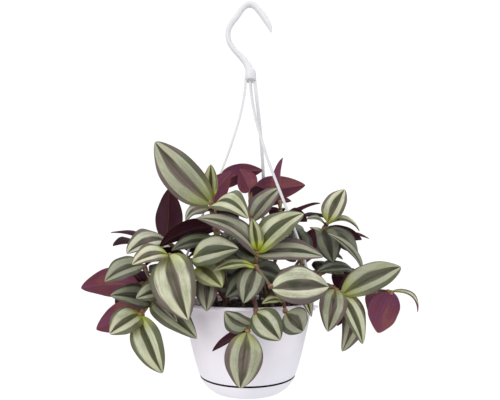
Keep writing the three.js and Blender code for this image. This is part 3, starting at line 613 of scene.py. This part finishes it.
# Each stem is (foot, route, leaves), in millimetres, and each leaf is (look, place along the route,
# tip, width, way its upper face looks, arch, fold). Place 0 is the soil, and arch and fold are shares
# of the leaf's length and of half its width.
FRONT_STEMS = [
    # upper left front, with the tallest leaf
    ([-22, -14], [[-27, -28, 145], [-35, -44, 185], [-38, -50, 211]], [
        ("lime", 3, [-37, -57, 244], 15, [0.1, -1, 0.1], 0.04, 0.7),
        ("bronze", 3, [-88, -38, 271], 41, [-0.45, -0.85, 0.05], 0.1, 0.2),
        ("fresh", 3, [1, -66, 188], 38, [0.1, -0.72, 0.68], 0.32, 0.1),
        ("rose", 2.7, [-17, -28, 244], 28, [-0.3, 0.85, 0.4], 0.16, 0.2),
        ("taupe", 2.5, [-59, -62, 186], 32, [-0.75, -0.55, 0.4], 0.22, 0.15),
        ("wine", 1.95, [-92, -46, 161], 27, [0.1, 0.5, 0.85], 0.12, 0.15),
        ("deep", 1.5, [-81, -35, 168], 28, [0.1, -0.6, 0.8], 0.12, 0.2),
        ("deep", 1.2, [-19, -30, 174], 28, [0, -0.6, 0.8], 0.12, 0.2),
    ]),
    # centre front, with the broad pale leaves
    ([6, -26], [[7, -38, 126], [9, -52, 145], [10, -60, 157]], [
        ("lime", 3, [5, -62, 188], 15, [0.2, -1, 0], 0.03, 0.7),
        ("young", 3, [58, -50, 195], 37, [-0.35, -0.78, 0.52], 0.14, 0.2),
        ("taupe", 3, [77, -58, 150], 29, [0, -0.8, 0.6], 0.12, 0.25),
        ("taupe", 2.5, [-44, -76, 194], 32, [0.15, -0.7, 0.7], 0.2, 0.15),
        ("deep", 2.3, [-14, -60, 171], 28, [-0.1, -0.85, 0.5], 0.08, 0.2),
        ("deep", 1.6, [38, -36, 120], 26, [0, -0.8, 0.6], 0.1, 0.2),
    ]),
    # centre front, lower
    ([20, -38], [[15, -56, 130], [8, -78, 140], [16, -88, 130], [23, -90, 120]], [
        ("white", 4, [78, -78, 121], 39, [-0.05, -0.92, 0.4], 0.08, 0.2),
        ("grey", 2.1, [-3, -95, 107], 26, [0, -0.95, 0.3], 0.08, 0.2),
        ("lime", 1.9, [-31, -90, 136], 23, [0, -0.4, 0.9], 0.12, 0.1),
        ("deep", 1.4, [-20, -80, 111], 27, [-0.2, -0.9, 0.3], 0.08, 0.2),
    ]),
    # short stem between the front and the left
    ([-24, -34], [[-34, -50, 122], [-46, -64, 138], [-53, -72, 148]], [
        ("silver", 3, [-8, -84, 157], 37, [0.05, -0.8, 0.6], 0.1, 0.15),
        ("lime", 2.2, [-23, -88, 121], 30, [0.1, -0.85, 0.5], 0.08, 0.2),
        ("taupe", 1.5, [-37, -91, 99], 24, [0, -0.95, 0.2], 0.08, 0.2),
    ]),
    # left front, with the broadest leaf
    ([-38, -30], [[-52, -46, 128], [-67, -60, 146], [-78, -70, 152]], [
        ("bright", 2.9, [-53, -98, 92], 45, [-0.2, -0.93, 0.3], 0.1, 0.16),
        ("pale", 3, [-108, -84, 142], 27, [0, -0.72, 0.7], 0.16, 0.25),
    ]),
    # left front, pale young stem
    ([-48, -16], [[-68, -38, 116], [-80, -62, 116], [-91, -74, 124], [-103, -66, 142]], [
        ("grey", 4, [-137, -76, 126], 28, [0, -0.8, 0.6], 0.14, 0.2),
        ("olive", 2.1, [-102, -92, 111], 23, [0.1, -0.9, 0.4], 0.08, 0.2),
    ]),
    # low left, over the lip
    ([-45, -5], [[-66, -15, 117], [-86, -26, 114], [-102, -44, 102], [-109, -60, 90]], [
        ("fresh", 4, [-82, -74, 37], 31, [-0.1, -0.95, 0.2], 0.06, 0.2),
        ("fresh", 4, [-133, -74, 75], 32, [-0.3, -0.9, 0.25], 0.1, 0.15),
        ("rose", 4, [-157, -48, 75], 34, [0.1, 0.9, 0.2], 0.1, 0.15),
        ("grey", 3, [-134, -70, 112], 28, [0, -0.8, 0.55], 0.16, 0.2),
        ("olive", 3, [-47, -86, 73], 29, [0.15, -0.9, 0.35], 0.1, 0.2),
        ("grey", 2.6, [-64, -92, 89], 16, [0.1, -0.85, 0.45], 0.1, 0.3),
    ]),
    # left, behind the last one
    ([-54, 14], [[-80, -4, 122], [-99, -28, 130], [-114, -44, 121]], [
        ("rose", 3, [-172, -50, 118], 36, [0, 0.85, 0.45], 0.08, 0.2),
        ("wine", 3, [-120, -66, 135], 22, [0.1, 0.7, 0.6], 0.1, 0.2),
        ("deep", 2, [-147, -20, 96], 28, [-0.3, 0.2, 0.9], 0.14, 0.2),
    ]),
    # upper left, dark leaves
    ([-38, 14], [[-58, 8, 138], [-78, 0, 156], [-93, -7, 170]], [
        ("wine", 3, [-91, -2, 232], 32, [0, 0.95, 0.1], 0.05, 0.2),
        ("mauve", 2.7, [-134, -40, 162], 41, [-0.1, -0.75, 0.65], 0.16, 0.25),
        ("taupe", 3, [-106, 6, 204], 20, [0.2, 0.9, 0.3], 0.06, 0.3),
        ("deep", 2.2, [-64, -20, 170], 27, [0.1, -0.7, 0.7], 0.12, 0.2),
        ("deep", 1.8, [-111, -30, 145], 27, [-0.3, 0.3, 0.9], 0.2, 0.15),
    ]),
    # high, left of the back strap
    ([-24, 14], [[-32, 14, 150], [-37, 12, 200], [-36, 10, 236]], [
        ("rose", 3, [18, 12, 256], 26, [0, 0.8, 0.6], 0.24, 0.2),
        ("silver", 3, [-63, 24, 250], 25, [0.2, 0.6, 0.7], 0.12, 0.2),
        ("grey", 2.4, [-72, 30, 217], 28, [-0.2, 0.5, 0.8], 0.14, 0.2),
        ("deep", 2.2, [-21, 52, 230], 28, [0, 0.4, 0.9], 0.14, 0.2),
        ("wine", 1.9, [-11, -8, 200], 28, [0.1, 0.8, 0.6], 0.1, 0.2),
        ("deep", 1.6, [-64, 36, 177], 28, [-0.3, 0.5, 0.8], 0.16, 0.2),
    ]),
    # high centre, in front of the back strap
    ([8, 4], [[4, -8, 150], [4, -12, 192], [3, 6, 230]], [
        ("taupe", 2, [37, -10, 230], 31, [-0.3, -0.8, 0.5], 0.08, 0.2),
        ("rose", 3, [-11, 20, 257], 27, [0.2, 0.9, 0.3], 0.06, 0.3),
        ("rose", 3, [61, 34, 273], 35, [0.1, 0.9, 0.4], 0.1, 0.2),
        ("wine", 2.6, [24, 18, 231], 29, [0, 0.9, 0.4], 0.08, 0.2),
        ("rose", 2.3, [54, 24, 221], 22, [0, 0.7, 0.7], 0.14, 0.2),
        ("deep", 1.6, [-36, -14, 166], 28, [-0.1, -0.5, 0.85], 0.14, 0.2),
        ("deep", 1.2, [27, 10, 160], 28, [0, -0.7, 0.7], 0.12, 0.2),
    ]),
    # high, right of the back strap
    ([26, 12], [[33, 12, 150], [39, 8, 190], [38, 6, 220]], [
        ("rose", 3, [41, -2, 267], 14, [-0.6, 0.7, 0.1], 0.08, 0.7),
        ("grey", 2.6, [18, 50, 232], 27, [0, 0.5, 0.85], 0.14, 0.2),
        ("grey", 2.2, [75, 34, 197], 26, [0, 0.6, 0.8], 0.14, 0.2),
        ("deep", 1.8, [65, -12, 171], 29, [0.1, -0.7, 0.7], 0.14, 0.2),
        ("deep", 1.3, [57, 6, 146], 29, [0, -0.7, 0.7], 0.14, 0.2),
    ]),
    # upper right
    ([34, -4], [[57, 0, 142], [81, 4, 172], [95, 5, 193]], [
        ("pale", 3, [114, 2, 231], 28, [-0.45, -0.85, 0.15], 0.08, 0.3),
        ("young", 3, [131, -4, 190], 13, [0.2, -0.6, 0.8], 0.26, 0.5),
        ("deep", 3, [95, -22, 145], 35, [-0.2, -0.93, 0.25], 0.16, 0.12),
        ("deep", 3, [126, -10, 152], 31, [0.3, -0.8, 0.5], 0.18, 0.2),
        ("wine", 3, [141, 16, 168], 26, [0.3, 0.7, 0.6], 0.12, 0.2),
        ("grey", 2.8, [68, -6, 195], 15, [-0.1, -0.6, 0.8], 0.14, 0.3),
        ("silver", 2.4, [95, 40, 182], 28, [0, 0.3, 0.95], 0.14, 0.2),
        ("deep", 1.8, [112, 24, 153], 28, [0, 0.3, 0.95], 0.14, 0.2),
    ]),
    # right, under the last one
    ([44, 10], [[70, 8, 122], [102, 2, 137], [132, -8, 134]], [
        ("grey", 3, [82, -30, 170], 18, [0.3, -0.7, 0.6], 0.1, 0.3),
        ("deep", 2.7, [74, -34, 134], 22, [0, -0.65, 0.75], 0.1, 0.2),
        ("silver", 2.2, [93, -10, 135], 26, [-0.2, -0.85, 0.4], 0.1, 0.2),
        ("wine", 2.5, [106, 0, 112], 27, [-0.1, 0.8, 0.4], 0.1, 0.2),
        ("olive", 3, [163, 22, 119], 28, [0, 0.3, 0.95], 0.12, 0.2),
        ("deep", 1.6, [100, 40, 146], 28, [0, 0.4, 0.9], 0.14, 0.2),
    ]),
    # right front, over the lip
    ([46, -14], [[67, -20, 119], [87, -26, 121], [103, -30, 110]], [
        ("olive", 3, [171, -20, 140], 34, [-0.1, -0.85, 0.5], 0.1, 0.2),
        ("fresh", 3, [132, -50, 67], 25, [0.3, -0.85, 0.4], 0.1, 0.15),
        ("bronze", 3, [82, -56, 74], 29, [-0.1, -0.9, 0.35], 0.1, 0.2),
    ]),
    # far right, hanging out
    ([54, 2], [[84, 1, 109], [122, -4, 108], [149, -12, 113], [163, -20, 111]], [
        ("rose", 4, [144, -24, 67], 38, [-0.1, 0.95, 0.1], 0.08, 0.15),
        ("pale", 4, [189, -22, 90], 9, [0.5, -0.6, 0.6], 0.3, 0.6),
        ("bronze", 2, [102, -34, 49], 35, [0.45, -0.85, 0.1], 0.1, 0.2),
        ("silver", 3, [154, 26, 74], 28, [0.4, 0.6, 0.5], 0.1, 0.2),
        ("deep", 2, [112, 30, 66], 28, [0.3, 0.7, 0.5], 0.1, 0.2),
    ]),
    # front centre, hanging over the lip
    ([-4, -46], [[1, -62, 110], [7, -79, 108], [8, -88, 98], [3, -92, 86], [0, -93, 80]], [
        ("bronze", 5, [-6, -97, 30], 35, [-0.05, -0.98, 0.15], 0.05, 0.14),
        ("grey", 4, [-20, -97, 100], 27, [-0.45, -0.8, -0.3], 0.16, 0.2),
        ("wine", 5, [-33, -94, 63], 10, [0.1, 0.8, 0.5], 0.08, 0.5),
        ("silver", 3, [30, -99, 74], 29, [0.1, -0.97, 0.2], 0.1, 0.2),
    ]),
    # front, right of the last one
    ([26, -50], [[30, -64, 109], [34, -80, 107], [36, -88, 97]], [
        ("grey", 3, [52, -88, 80], 30, [0.2, -0.95, 0.2], 0.08, 0.2),
        ("lime", 2, [14, -91, 106], 13, [0, -0.5, 0.85], 0.1, 0.3),
    ]),
    # right front, short and dark
    ([40, -32], [[48, -34, 122], [56, -30, 138], [62, -26, 150]], [
        ("deep", 3, [54, -22, 183], 26, [-0.2, -0.75, 0.6], 0.12, 0.2),
        ("wine", 3, [77, -16, 179], 22, [0.2, 0.7, 0.6], 0.1, 0.2),
        ("young", 1.3, [87, -60, 103], 15, [0.1, -0.85, 0.45], 0.12, 0.2),
    ]),
    # middle, low and dark, between the others
    ([4, 24], [[4, 21, 118], [2, 17, 134], [0, 15, 150]], [
        ("grey", 2.6, [56, 12, 140], 32, [0, -0.8, 0.6], 0.1, 0.2),
        ("deep", 2.2, [-44, 8, 144], 32, [0, -0.85, 0.5], 0.1, 0.2),
        ("deep", 1.2, [46, 8, 112], 32, [0, -0.9, 0.4], 0.1, 0.2),
        ("deep", 0.9, [-42, 4, 114], 32, [0, -0.9, 0.4], 0.1, 0.2),
    ]),
]

# The far side is filled by a rule: each stem stands at an angle round the pot's axis, leans out from
# its start to a reach and a height, and has its leaves left and right in turn.
BACK_STEMS = (                   # angle, start, reach, height
    (24, 36, 106, 166), (42, 56, 118, 100), (50, 34, 76, 188), (74, 58, 112, 112), (104, 42, 84, 172),
    (118, 60, 122, 94), (134, 40, 96, 158), (152, 58, 124, 104), (170, 40, 116, 150),
)
OVER_LIP = 116                   # a stem first rises to here, to hang out over the lip
FIRST_RISE = 0.45                # or, if that is higher, by this share of its height over the soil
KNEES = (0.42, 0.75)             # its two bends, as shares of its way out
KNEE_RISE = 0.6                  # how far up the second one is between the first and the stem's end
KNEE_LIFT = 4                    # and its height over that
UPRIGHT = 130                    # a stem that ends above this height holds its leaves up
BACK_LEAVES = 5
BACK_PLACES = (1.4, 3)           # of the lowest and the highest leaf along the stem
BACK_SPREAD = (78, 26)           # degrees between the stem's way and a leaf's, low and high on it
UPRIGHT_LIFT = (-4, 30)          # degrees by which a leaf points up, low and high on an upright stem
HANGING_LIFT = (2, -38)          # and on one that hangs out
SPREAD_CHANCE = 12
LIFT_CHANCE = 22
BACK_LENGTHS = (54, 70)
BACK_WIDTH = 0.54                # a share of the leaf's length
BACK_FACING = (0.5, 0.8)         # outward and upward
BACK_BEND = (0.16, 0.2)          # arch and fold
BACK_LOOKS = ("silver", "olive", "grey", "bright", "deep", "taupe")
DRAW_FACTOR = 16807
DRAW_RANGE = 2 ** 31 - 1
draw_state = 2024


def draw():
    """The next of a fixed row of numbers from 0 to 1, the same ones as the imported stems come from."""
    global draw_state
    draw_state = draw_state * DRAW_FACTOR % DRAW_RANGE
    return draw_state / DRAW_RANGE


def stem_point(foot, route, place):
    """A point of the stem's line over the soil, a uniform cubic through the route's points."""
    points = np.array([[*foot, SOIL_EXIT - UPRIGHT_RUN], [*foot, SOIL_EXIT], *route], float)
    span = min(int(place + 1), len(points) - 2)
    w = place + 1 - span
    p0, p1, p2 = points[span - 1:span + 2]
    p3 = points[span + 2] if span + 2 < len(points) else 2 * p2 - p1
    t1 = 0.5 * (p2 - p0)
    t2 = 0.5 * (p3 - p1)
    return p1 + t1 * w + (3 * p2 - 3 * p1 - 2 * t1 - t2) * w ** 2 + (2 * p1 - 2 * p2 + t1 + t2) * w ** 3


def between(ends, share):
    return ends[0] + (ends[1] - ends[0]) * share


def back_stem(angle, start, reach, height):
    """The foot, route and leaves of a stem on the far side."""
    def around(radius, z):
        return (radius * math.cos(math.radians(angle)), radius * math.sin(math.radians(angle)), z)

    foot = around(start, 0)[:2]
    first = max(OVER_LIP, SOIL_EXIT + FIRST_RISE * (height - SOIL_EXIT))
    second = between((first, height), KNEE_RISE) + KNEE_LIFT
    knees = [around(between((start, reach), knee), z) for knee, z in zip(KNEES, (first, second))]
    route = [*knees, around(reach, height)]
    lifts = UPRIGHT_LIFT if height > UPRIGHT else HANGING_LIFT
    leaves = []
    for i in range(BACK_LEAVES):
        along = i / (BACK_LEAVES - 1)
        place = between(BACK_PLACES, along)
        side = 1 if i % 2 else -1
        turn = math.radians(angle + side * (between(BACK_SPREAD, along) + SPREAD_CHANCE * draw()))
        lift = math.radians(between(lifts, along) + LIFT_CHANCE * draw())
        length = between(BACK_LENGTHS, draw())
        flat = length * math.cos(lift)
        reach_out = np.array([flat * math.cos(turn), flat * math.sin(turn), length * math.sin(lift)])
        tip = stem_point(foot, route, place) + reach_out
        facing = (BACK_FACING[0] * math.cos(turn), BACK_FACING[0] * math.sin(turn), BACK_FACING[1])
        look = BACK_LOOKS[(angle + 2 * i) % len(BACK_LOOKS)]
        leaves.append((look, place, tip, BACK_WIDTH * length, facing, *BACK_BEND))
    return foot, route, leaves


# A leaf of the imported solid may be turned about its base, and made smaller, to clear its neighbours.
# These are all the turns that it can have, as (size, angle, way), in the order in which they are
# tried. It has the first one that puts its tip on a corner of the solid.
LEAF_SIZES = (1, 0.88, 0.76, 0.64, 0.52)
TURN_ANGLES = (7, 14, 22, 31, 42)
TURN_WAYS = range(0, 360, 45)
FOUND_WITHIN = 0.6               # how near that corner is
TURNS = []
for leaf_size in LEAF_SIZES:
    TURNS.append((leaf_size, 0, 0))
    TURNS += [(leaf_size, angle, way) for angle in TURN_ANGLES for way in TURN_WAYS]


def turned_tip(base, tip, facing, turn):
    size, angle, way = turn
    along = unit(tip - base)
    side = unit(np.cross(along, facing))
    up = np.cross(side, along)
    sideways = side * math.cos(math.radians(way)) + up * math.sin(math.radians(way))
    direction = along * math.cos(math.radians(angle)) + sideways * math.sin(math.radians(angle))
    return base + direction * np.linalg.norm(tip - base) * size


# Each look of a leaf: how silver its bands are, how brown its middle and edges, how young it is.
# The deep look is painted shade: its low silver makes the leaves set deep in the foliage dark, in place of
# the shade they sit in.
# On a leaf that shows its underside, the first number goes from maroon to rose.
LOOKS = {
    "bright": (0.92, 0.9, 0.5), "pale": (1, 1, 0.75), "white": (0.96, 0.8, 0), "silver": (0.68, 0.15, 0.3),
    "fresh": (0.85, 0.35, 0.95), "young": (0.85, 0.25, 1), "olive": (0.46, 0.4, 0.5),
    "bronze": (0.56, 1.5, 0.4), "grey": (0.36, 0.5, 0.1), "taupe": (0.44, 1, 0.05), "mauve": (0.8, 1, 0),
    "deep": (0.1, 0.4, 0), "wine": (0.1, 1, 0), "rose": (0.75, 1, 0), "lime": (0.6, 0.3, 2.6),
}


class LeafFinish(Finish):
    """A finish laid out by the blade's own map and by the values that differ from leaf to leaf."""

    def __init__(self, name, roughness, specular):
        super().__init__(name, roughness, specular)
        uv = self.node("UVMap", {"uv_map": "UVMap"})
        self.across = self.node("SeparateXYZ", {}, uv)
        self.along = self.node("SeparateXYZ", {}, uv, out="Y")
        self.out = abs(2 * self.across - 1)
        self.tone = self.leaf_value("tone")
        self.silver = self.leaf_value("silver")
        self.warmth = self.leaf_value("warmth")
        self.youth = self.leaf_value("youth")

    def leaf_value(self, name):
        return self.node("Attribute", {"attribute_name": name}, out="Fac")

    def drawn(self, wide, long, detail=2.0):
        """Noise drawn out along the leaf, another on each leaf."""
        where = self.node("CombineXYZ", {}, wide * self.across, long * self.along, 31 * self.tone)
        return self.noise(where, 1.0, detail)

    def painted(self, colour, *coats):
        """A colour under coats of other colours, each given as (amount, colour)."""
        for amount, coat in coats:
            colour = self.mix(amount, colour, coat)
        return colour


# The upper face: a dark middle and a dark edge on silver, with ragged borders. The middle narrows to
# the leaf's ends, and no two leaves have quite the same bands.
upper = LeafFinish("leaf_upper", 0.42, 0.26)
streaks = upper.drawn(26, 1.5, 3.0)
clouds = upper.drawn(3.2, 2.4)
flecks = upper.drawn(44, 17)
threads = upper.drawn(70, 3.5)
lean = (upper.across - 0.5) * (upper.tone - 0.5)
ragged = upper.out + 0.5 * lean + 0.12 * (streaks - 0.5) + 0.2 * (clouds - 0.5) + 0.12 * (threads - 0.5)
girth = (upper.along * (1 - upper.along) * 4) ** 0.5
middle_edge = 0.05 + girth * (0.2 + 0.14 * upper.tone)
middle = 1 - ragged.step(middle_edge - 0.03, middle_edge + 0.07)
margin = ragged.step(0.66 + 0.1 * upper.tone, 0.76 + 0.1 * upper.tone)
brown = upper.warmth * clouds.step(0.28, 0.56)
silver_band = upper.painted(
    upper.mix(upper.silver, srgb(56, 62, 48), srgb(200, 202, 176)),
    (0.5 * upper.along.step(0.4, 0.9) * upper.silver, srgb(190, 184, 156)),
    (0.55 * clouds.step(0.42, 0.7), srgb(116, 122, 92)),
    (0.45 * streaks.step(0.5, 0.72), srgb(104, 108, 80)),
    (0.35 * flecks.step(0.5, 0.7) * upper.silver, srgb(212, 208, 192)),
)
middle_band = upper.painted(
    upper.mix(brown, srgb(58, 70, 44), srgb(112, 98, 92)),
    (0.7 * upper.along.step(0.45, 0.9), srgb(66, 66, 48)),
    (0.6 * streaks.step(0.4, 0.7), srgb(50, 44, 40)),
)
edge_band = upper.painted(
    upper.mix(brown, srgb(66, 80, 54), srgb(100, 82, 84)),
    (0.5 * threads.step(0.4, 0.7), srgb(66, 56, 50)),
)
# Painted shade: on leaves with little silver, chiefly the deep ones deep in the foliage, the dark bands are
# darkened further.
dark_bands_and_shade = upper.painted(
    upper.mix(margin, middle_band, edge_band),
    (0.7 * (1 - upper.silver.step(0, 0.5)), srgb(36, 36, 30)),
)
rim = upper.out.step(0.93, 0.99) * (1 - upper.along.step(0.7, 0.97))
banded = upper.painted(
    upper.mix(margin, upper.mix(middle, silver_band, dark_bands_and_shade), dark_bands_and_shade),
    (0.55 * (1 - upper.out.step(0, 0.035)), srgb(48, 44, 30)),
    (0.5 * rim, srgb(62, 50, 40)),
)
fresh = (1 - upper.along.step(0.0, 0.36)) * (0.1 + 0.9 * upper.youth) + 0.12 * upper.youth
fresh_colour = upper.painted(
    upper.mix(upper.along.step(0.04, 0.3), srgb(150, 160, 32), srgb(178, 184, 96)),
    (middle, srgb(112, 116, 30)),
)
upper.set("Base Color", upper.mix(fresh * (1 - 0.3 * margin), banded, fresh_colour))
veins = upper.node("Math", {"operation": "SINE"}, 150 * upper.across)
upper.bump(0.3 * veins + streaks + 0.5 * flecks, 0.0002, 0.6)
upper.set("Roughness", 0.34 + 0.2 * streaks)

# The under face: clouded wine red, paler along the midrib
under = LeafFinish("leaf_under", 0.5, 0.08)
under_streaks = under.drawn(22, 1.8, 3.0)
under_clouds = under.drawn(3, 2.6)
wine = under.painted(
    under.mix(under.silver, srgb(34, 9, 16), srgb(124, 64, 78)),
    (0.6 * under_clouds.step(0.45, 0.62) * under.silver, srgb(108, 62, 98)),
    (0.5 * (1 - under_clouds.step(0.34, 0.5)) * under.silver, srgb(130, 84, 72)),
    (0.35 * under_streaks.step(0.42, 0.75) * under.silver, srgb(138, 94, 106)),
    (0.35 * (1 - under.out.step(0, 0.03)), srgb(144, 98, 100)),
)
under.set("Base Color", wine)
under.bump(under_streaks, 0.00018, 0.5)

stem_skin = Finish("stem_skin", 0.42)
stem_place = stem_skin.place()
specks = stem_skin.noise(stem_place, 420.0, 3.0)
patches = stem_skin.noise(stem_place, 40.0)
stem_colour = stem_skin.mix(patches.step(0.35, 0.7), srgb(104, 68, 60), srgb(88, 90, 52))
stem_colour = stem_skin.mix(0.6 * specks.step(0.5, 0.7), stem_colour, srgb(66, 34, 40))
stem_skin.set("Base Color", stem_colour)
stem_skin.bump(specks, 0.0002, 0.5)

sheath_skin = Finish("sheath_skin", 0.6)
sheath_patches = sheath_skin.noise(sheath_skin.place(), 110.0, 3.0)
sheath_colour = sheath_skin.mix(sheath_patches.step(0.4, 0.66), srgb(158, 128, 84), srgb(98, 62, 54))
sheath_skin.set("Base Color", sheath_colour)
sheath_skin.bump(sheath_patches, 0.0004, 0.5)


def crowded(along):
    return along - END_CROWDING * math.sin(2 * math.pi * along)


# The blade that every leaf is a copy of: a grid, X across it from -1 to 1 and Y along it from 0 to 1,
# finer near the midrib, the root and the tip, with an upper and an under face
bpy.ops.mesh.primitive_grid_add(x_subdivisions=BLADE_CELLS[0], y_subdivisions=BLADE_CELLS[1], size=2)
blade = bpy.context.active_object
for vertex in blade.data.vertices:
    vertex.co.x = math.copysign(abs(vertex.co.x) ** MIDRIB_CROWDING, vertex.co.x)
    vertex.co.y = crowded(0.5 + 0.5 * vertex.co.y)
    vertex.co.z = 0
dress(blade, upper.material, under.material)
apply_modifier(blade, "SOLIDIFY", thickness=1.0, offset=0, material_offset=1, use_even_offset=False)
for corner in blade.data.uv_layers[0].data:
    corner.uv.y = crowded(corner.uv.y)
blade_rest = np.array([vertex.co for vertex in blade.data.vertices])
blade_rest[:, 2] = np.sign(blade_rest[:, 2]) * 0.5


def set_values(mesh, values):
    for name, value in zip(("tone", "silver", "warmth", "youth"), values):
        layer = mesh.attributes.new(name, "FLOAT", "POINT")
        layer.data.foreach_set("value", np.full(len(mesh.vertices), value, float))


def leaf(base, tip, width, facing, arch, fold, tone, look):
    """A copy of the blade, bent to its place. U runs across it, s along it and w through it."""
    u, s, w = blade_rest.T[:, :, None]
    chord = tip - base
    length = np.linalg.norm(chord)
    along = chord / length
    side = unit(np.cross(along, facing))
    up = np.cross(side, along)
    middle_line = base + along * length * s + up * 4 * arch * length * s * (1 - s)
    tangent = unit(along + up * 4 * arch * (1 - 2 * s))
    normal = np.cross(side, tangent)
    half = width / 2 * np.clip(np.sin(math.pi * s ** OVAL_LEAN), 0, None) ** OVAL_FULLNESS
    half = np.where(s < 0.5, np.maximum(half, ROOT_HALF), np.maximum(half, TIP_HALF))
    crown = BLADE_CROWN * np.clip(s / CROWN_START, 0, 1)
    height = half * ((fold + crown) * abs(u) - crown * u ** 2)
    height -= MIDRIB_GROOVE * np.exp(-(u / MIDRIB_HALF) ** 2)
    phase = WAVES * s + 3 * tone + 0.25 * np.sign(u)
    wave = WAVE_HEIGHT * width * np.sin(2 * math.pi * phase) * abs(u) ** 3 * np.clip(4 * s * (1 - s), 0, 1)
    thickness = BLADE_THICKNESS * (1 - EDGE_THINNING * u ** 2)
    placed = middle_line + side * u * half + normal * (height + wave + w * thickness)
    made = bpy.data.objects.new("leaf", blade.data.copy())
    made.data.vertices.foreach_set("co", (placed * MM).ravel())
    set_values(made.data, (tone, *LOOKS[look]))
    bpy.context.scene.collection.objects.link(made)
    return made


def tube(master, name, points, radii):
    """A copy of a round master along the points, with a radius at each, that doesn't twist."""
    way = unit(np.gradient(points, axis=0))
    across = [unit(np.cross(way[0], FIRST_SIDE))]
    for direction in way[1:]:
        across.append(unit(across[-1] - direction * np.dot(across[-1], direction)))
    across = np.array(across)
    out = np.cross(way, across)
    made = bent_along(master, name, points, across * radii[:, None], out * radii[:, None])
    set_values(made.data, PLAIN_VALUES)
    return made


def stalk(foot, route, nodes):
    """The stem itself, a little slimmer towards its end and swollen where each leaf clasps it."""
    places = np.linspace(0, len(route), STALK_RINGS)
    points = np.array([[*foot, STEM_FOOT], *[stem_point(foot, route, place) for place in places]])
    past_start = np.clip(np.linspace(0, 1, len(points)) - TAPER_START, 0, None)
    radii = STEM_RADIUS * (1 - TAPER * past_start)
    for node in nodes:
        radii[1:] += NODE_SWELL * np.exp(-((places - node) / NODE_LENGTH) ** 2)
    return tube(stem_master, "stem", points, radii)


def sheath(foot, route, node):
    places = np.linspace(node - SHEATH_SPANS[0], node - SHEATH_SPANS[1], SHEATH_RINGS + 1)
    points = np.array([stem_point(foot, route, place) for place in places])
    return tube(sheath_master, "sheath", points, SHEATH_RADII)


def solid_corners(node_name):
    """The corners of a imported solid, to be asked how near the nearest one is."""
    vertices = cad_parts[node_name].data.vertices
    corners = kdtree.KDTree(len(vertices))
    for index, vertex in enumerate(vertices):
        corners.insert(vertex.co, index)
    corners.balance()
    return corners


stem_master = straight_bar("stem_master", STALK_SIDES, STALK_RINGS)
dress(stem_master, stem_skin.material)
sheath_master = straight_bar("sheath_master", STALK_SIDES, SHEATH_RINGS)
dress(sheath_master, sheath_skin.material)

stems = FRONT_STEMS + [back_stem(*stem) for stem in BACK_STEMS]
for number, (foot, route, leaves) in enumerate(stems, 1):
    node_name = f"leafy_stem_{number:02d}"
    corners = solid_corners(node_name)
    listed_places = [row[1] for row in leaves]
    parts = []
    nodes = []
    for index, (look, place, tip, width, facing, arch, fold) in enumerate(leaves):
        place -= LEAF_STEP * listed_places[:index].count(place)
        base = stem_point(foot, route, place)
        tip = np.array(tip, float)
        facing = unit(np.array(facing, float))
        tone = rng.uniform(0, 1)
        for turn in TURNS:
            new_tip = turned_tip(base, tip, facing, turn)
            if corners.find(Vector(new_tip * MM))[2] < FOUND_WITHIN * MM:
                parts.append(leaf(base, new_tip, width * turn[0], facing, arch, fold, tone, look))
                nodes.append(place)
                break
    parts += [sheath(foot, route, node) for node in nodes]
    piece = join([stalk(foot, route, nodes), *parts], f"foliage_{number:02d}")
    smooth(piece, 50)
    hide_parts(node_name)
    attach(piece, "root")
for master in (blade, stem_master, sheath_master):
    bpy.data.objects.remove(master)
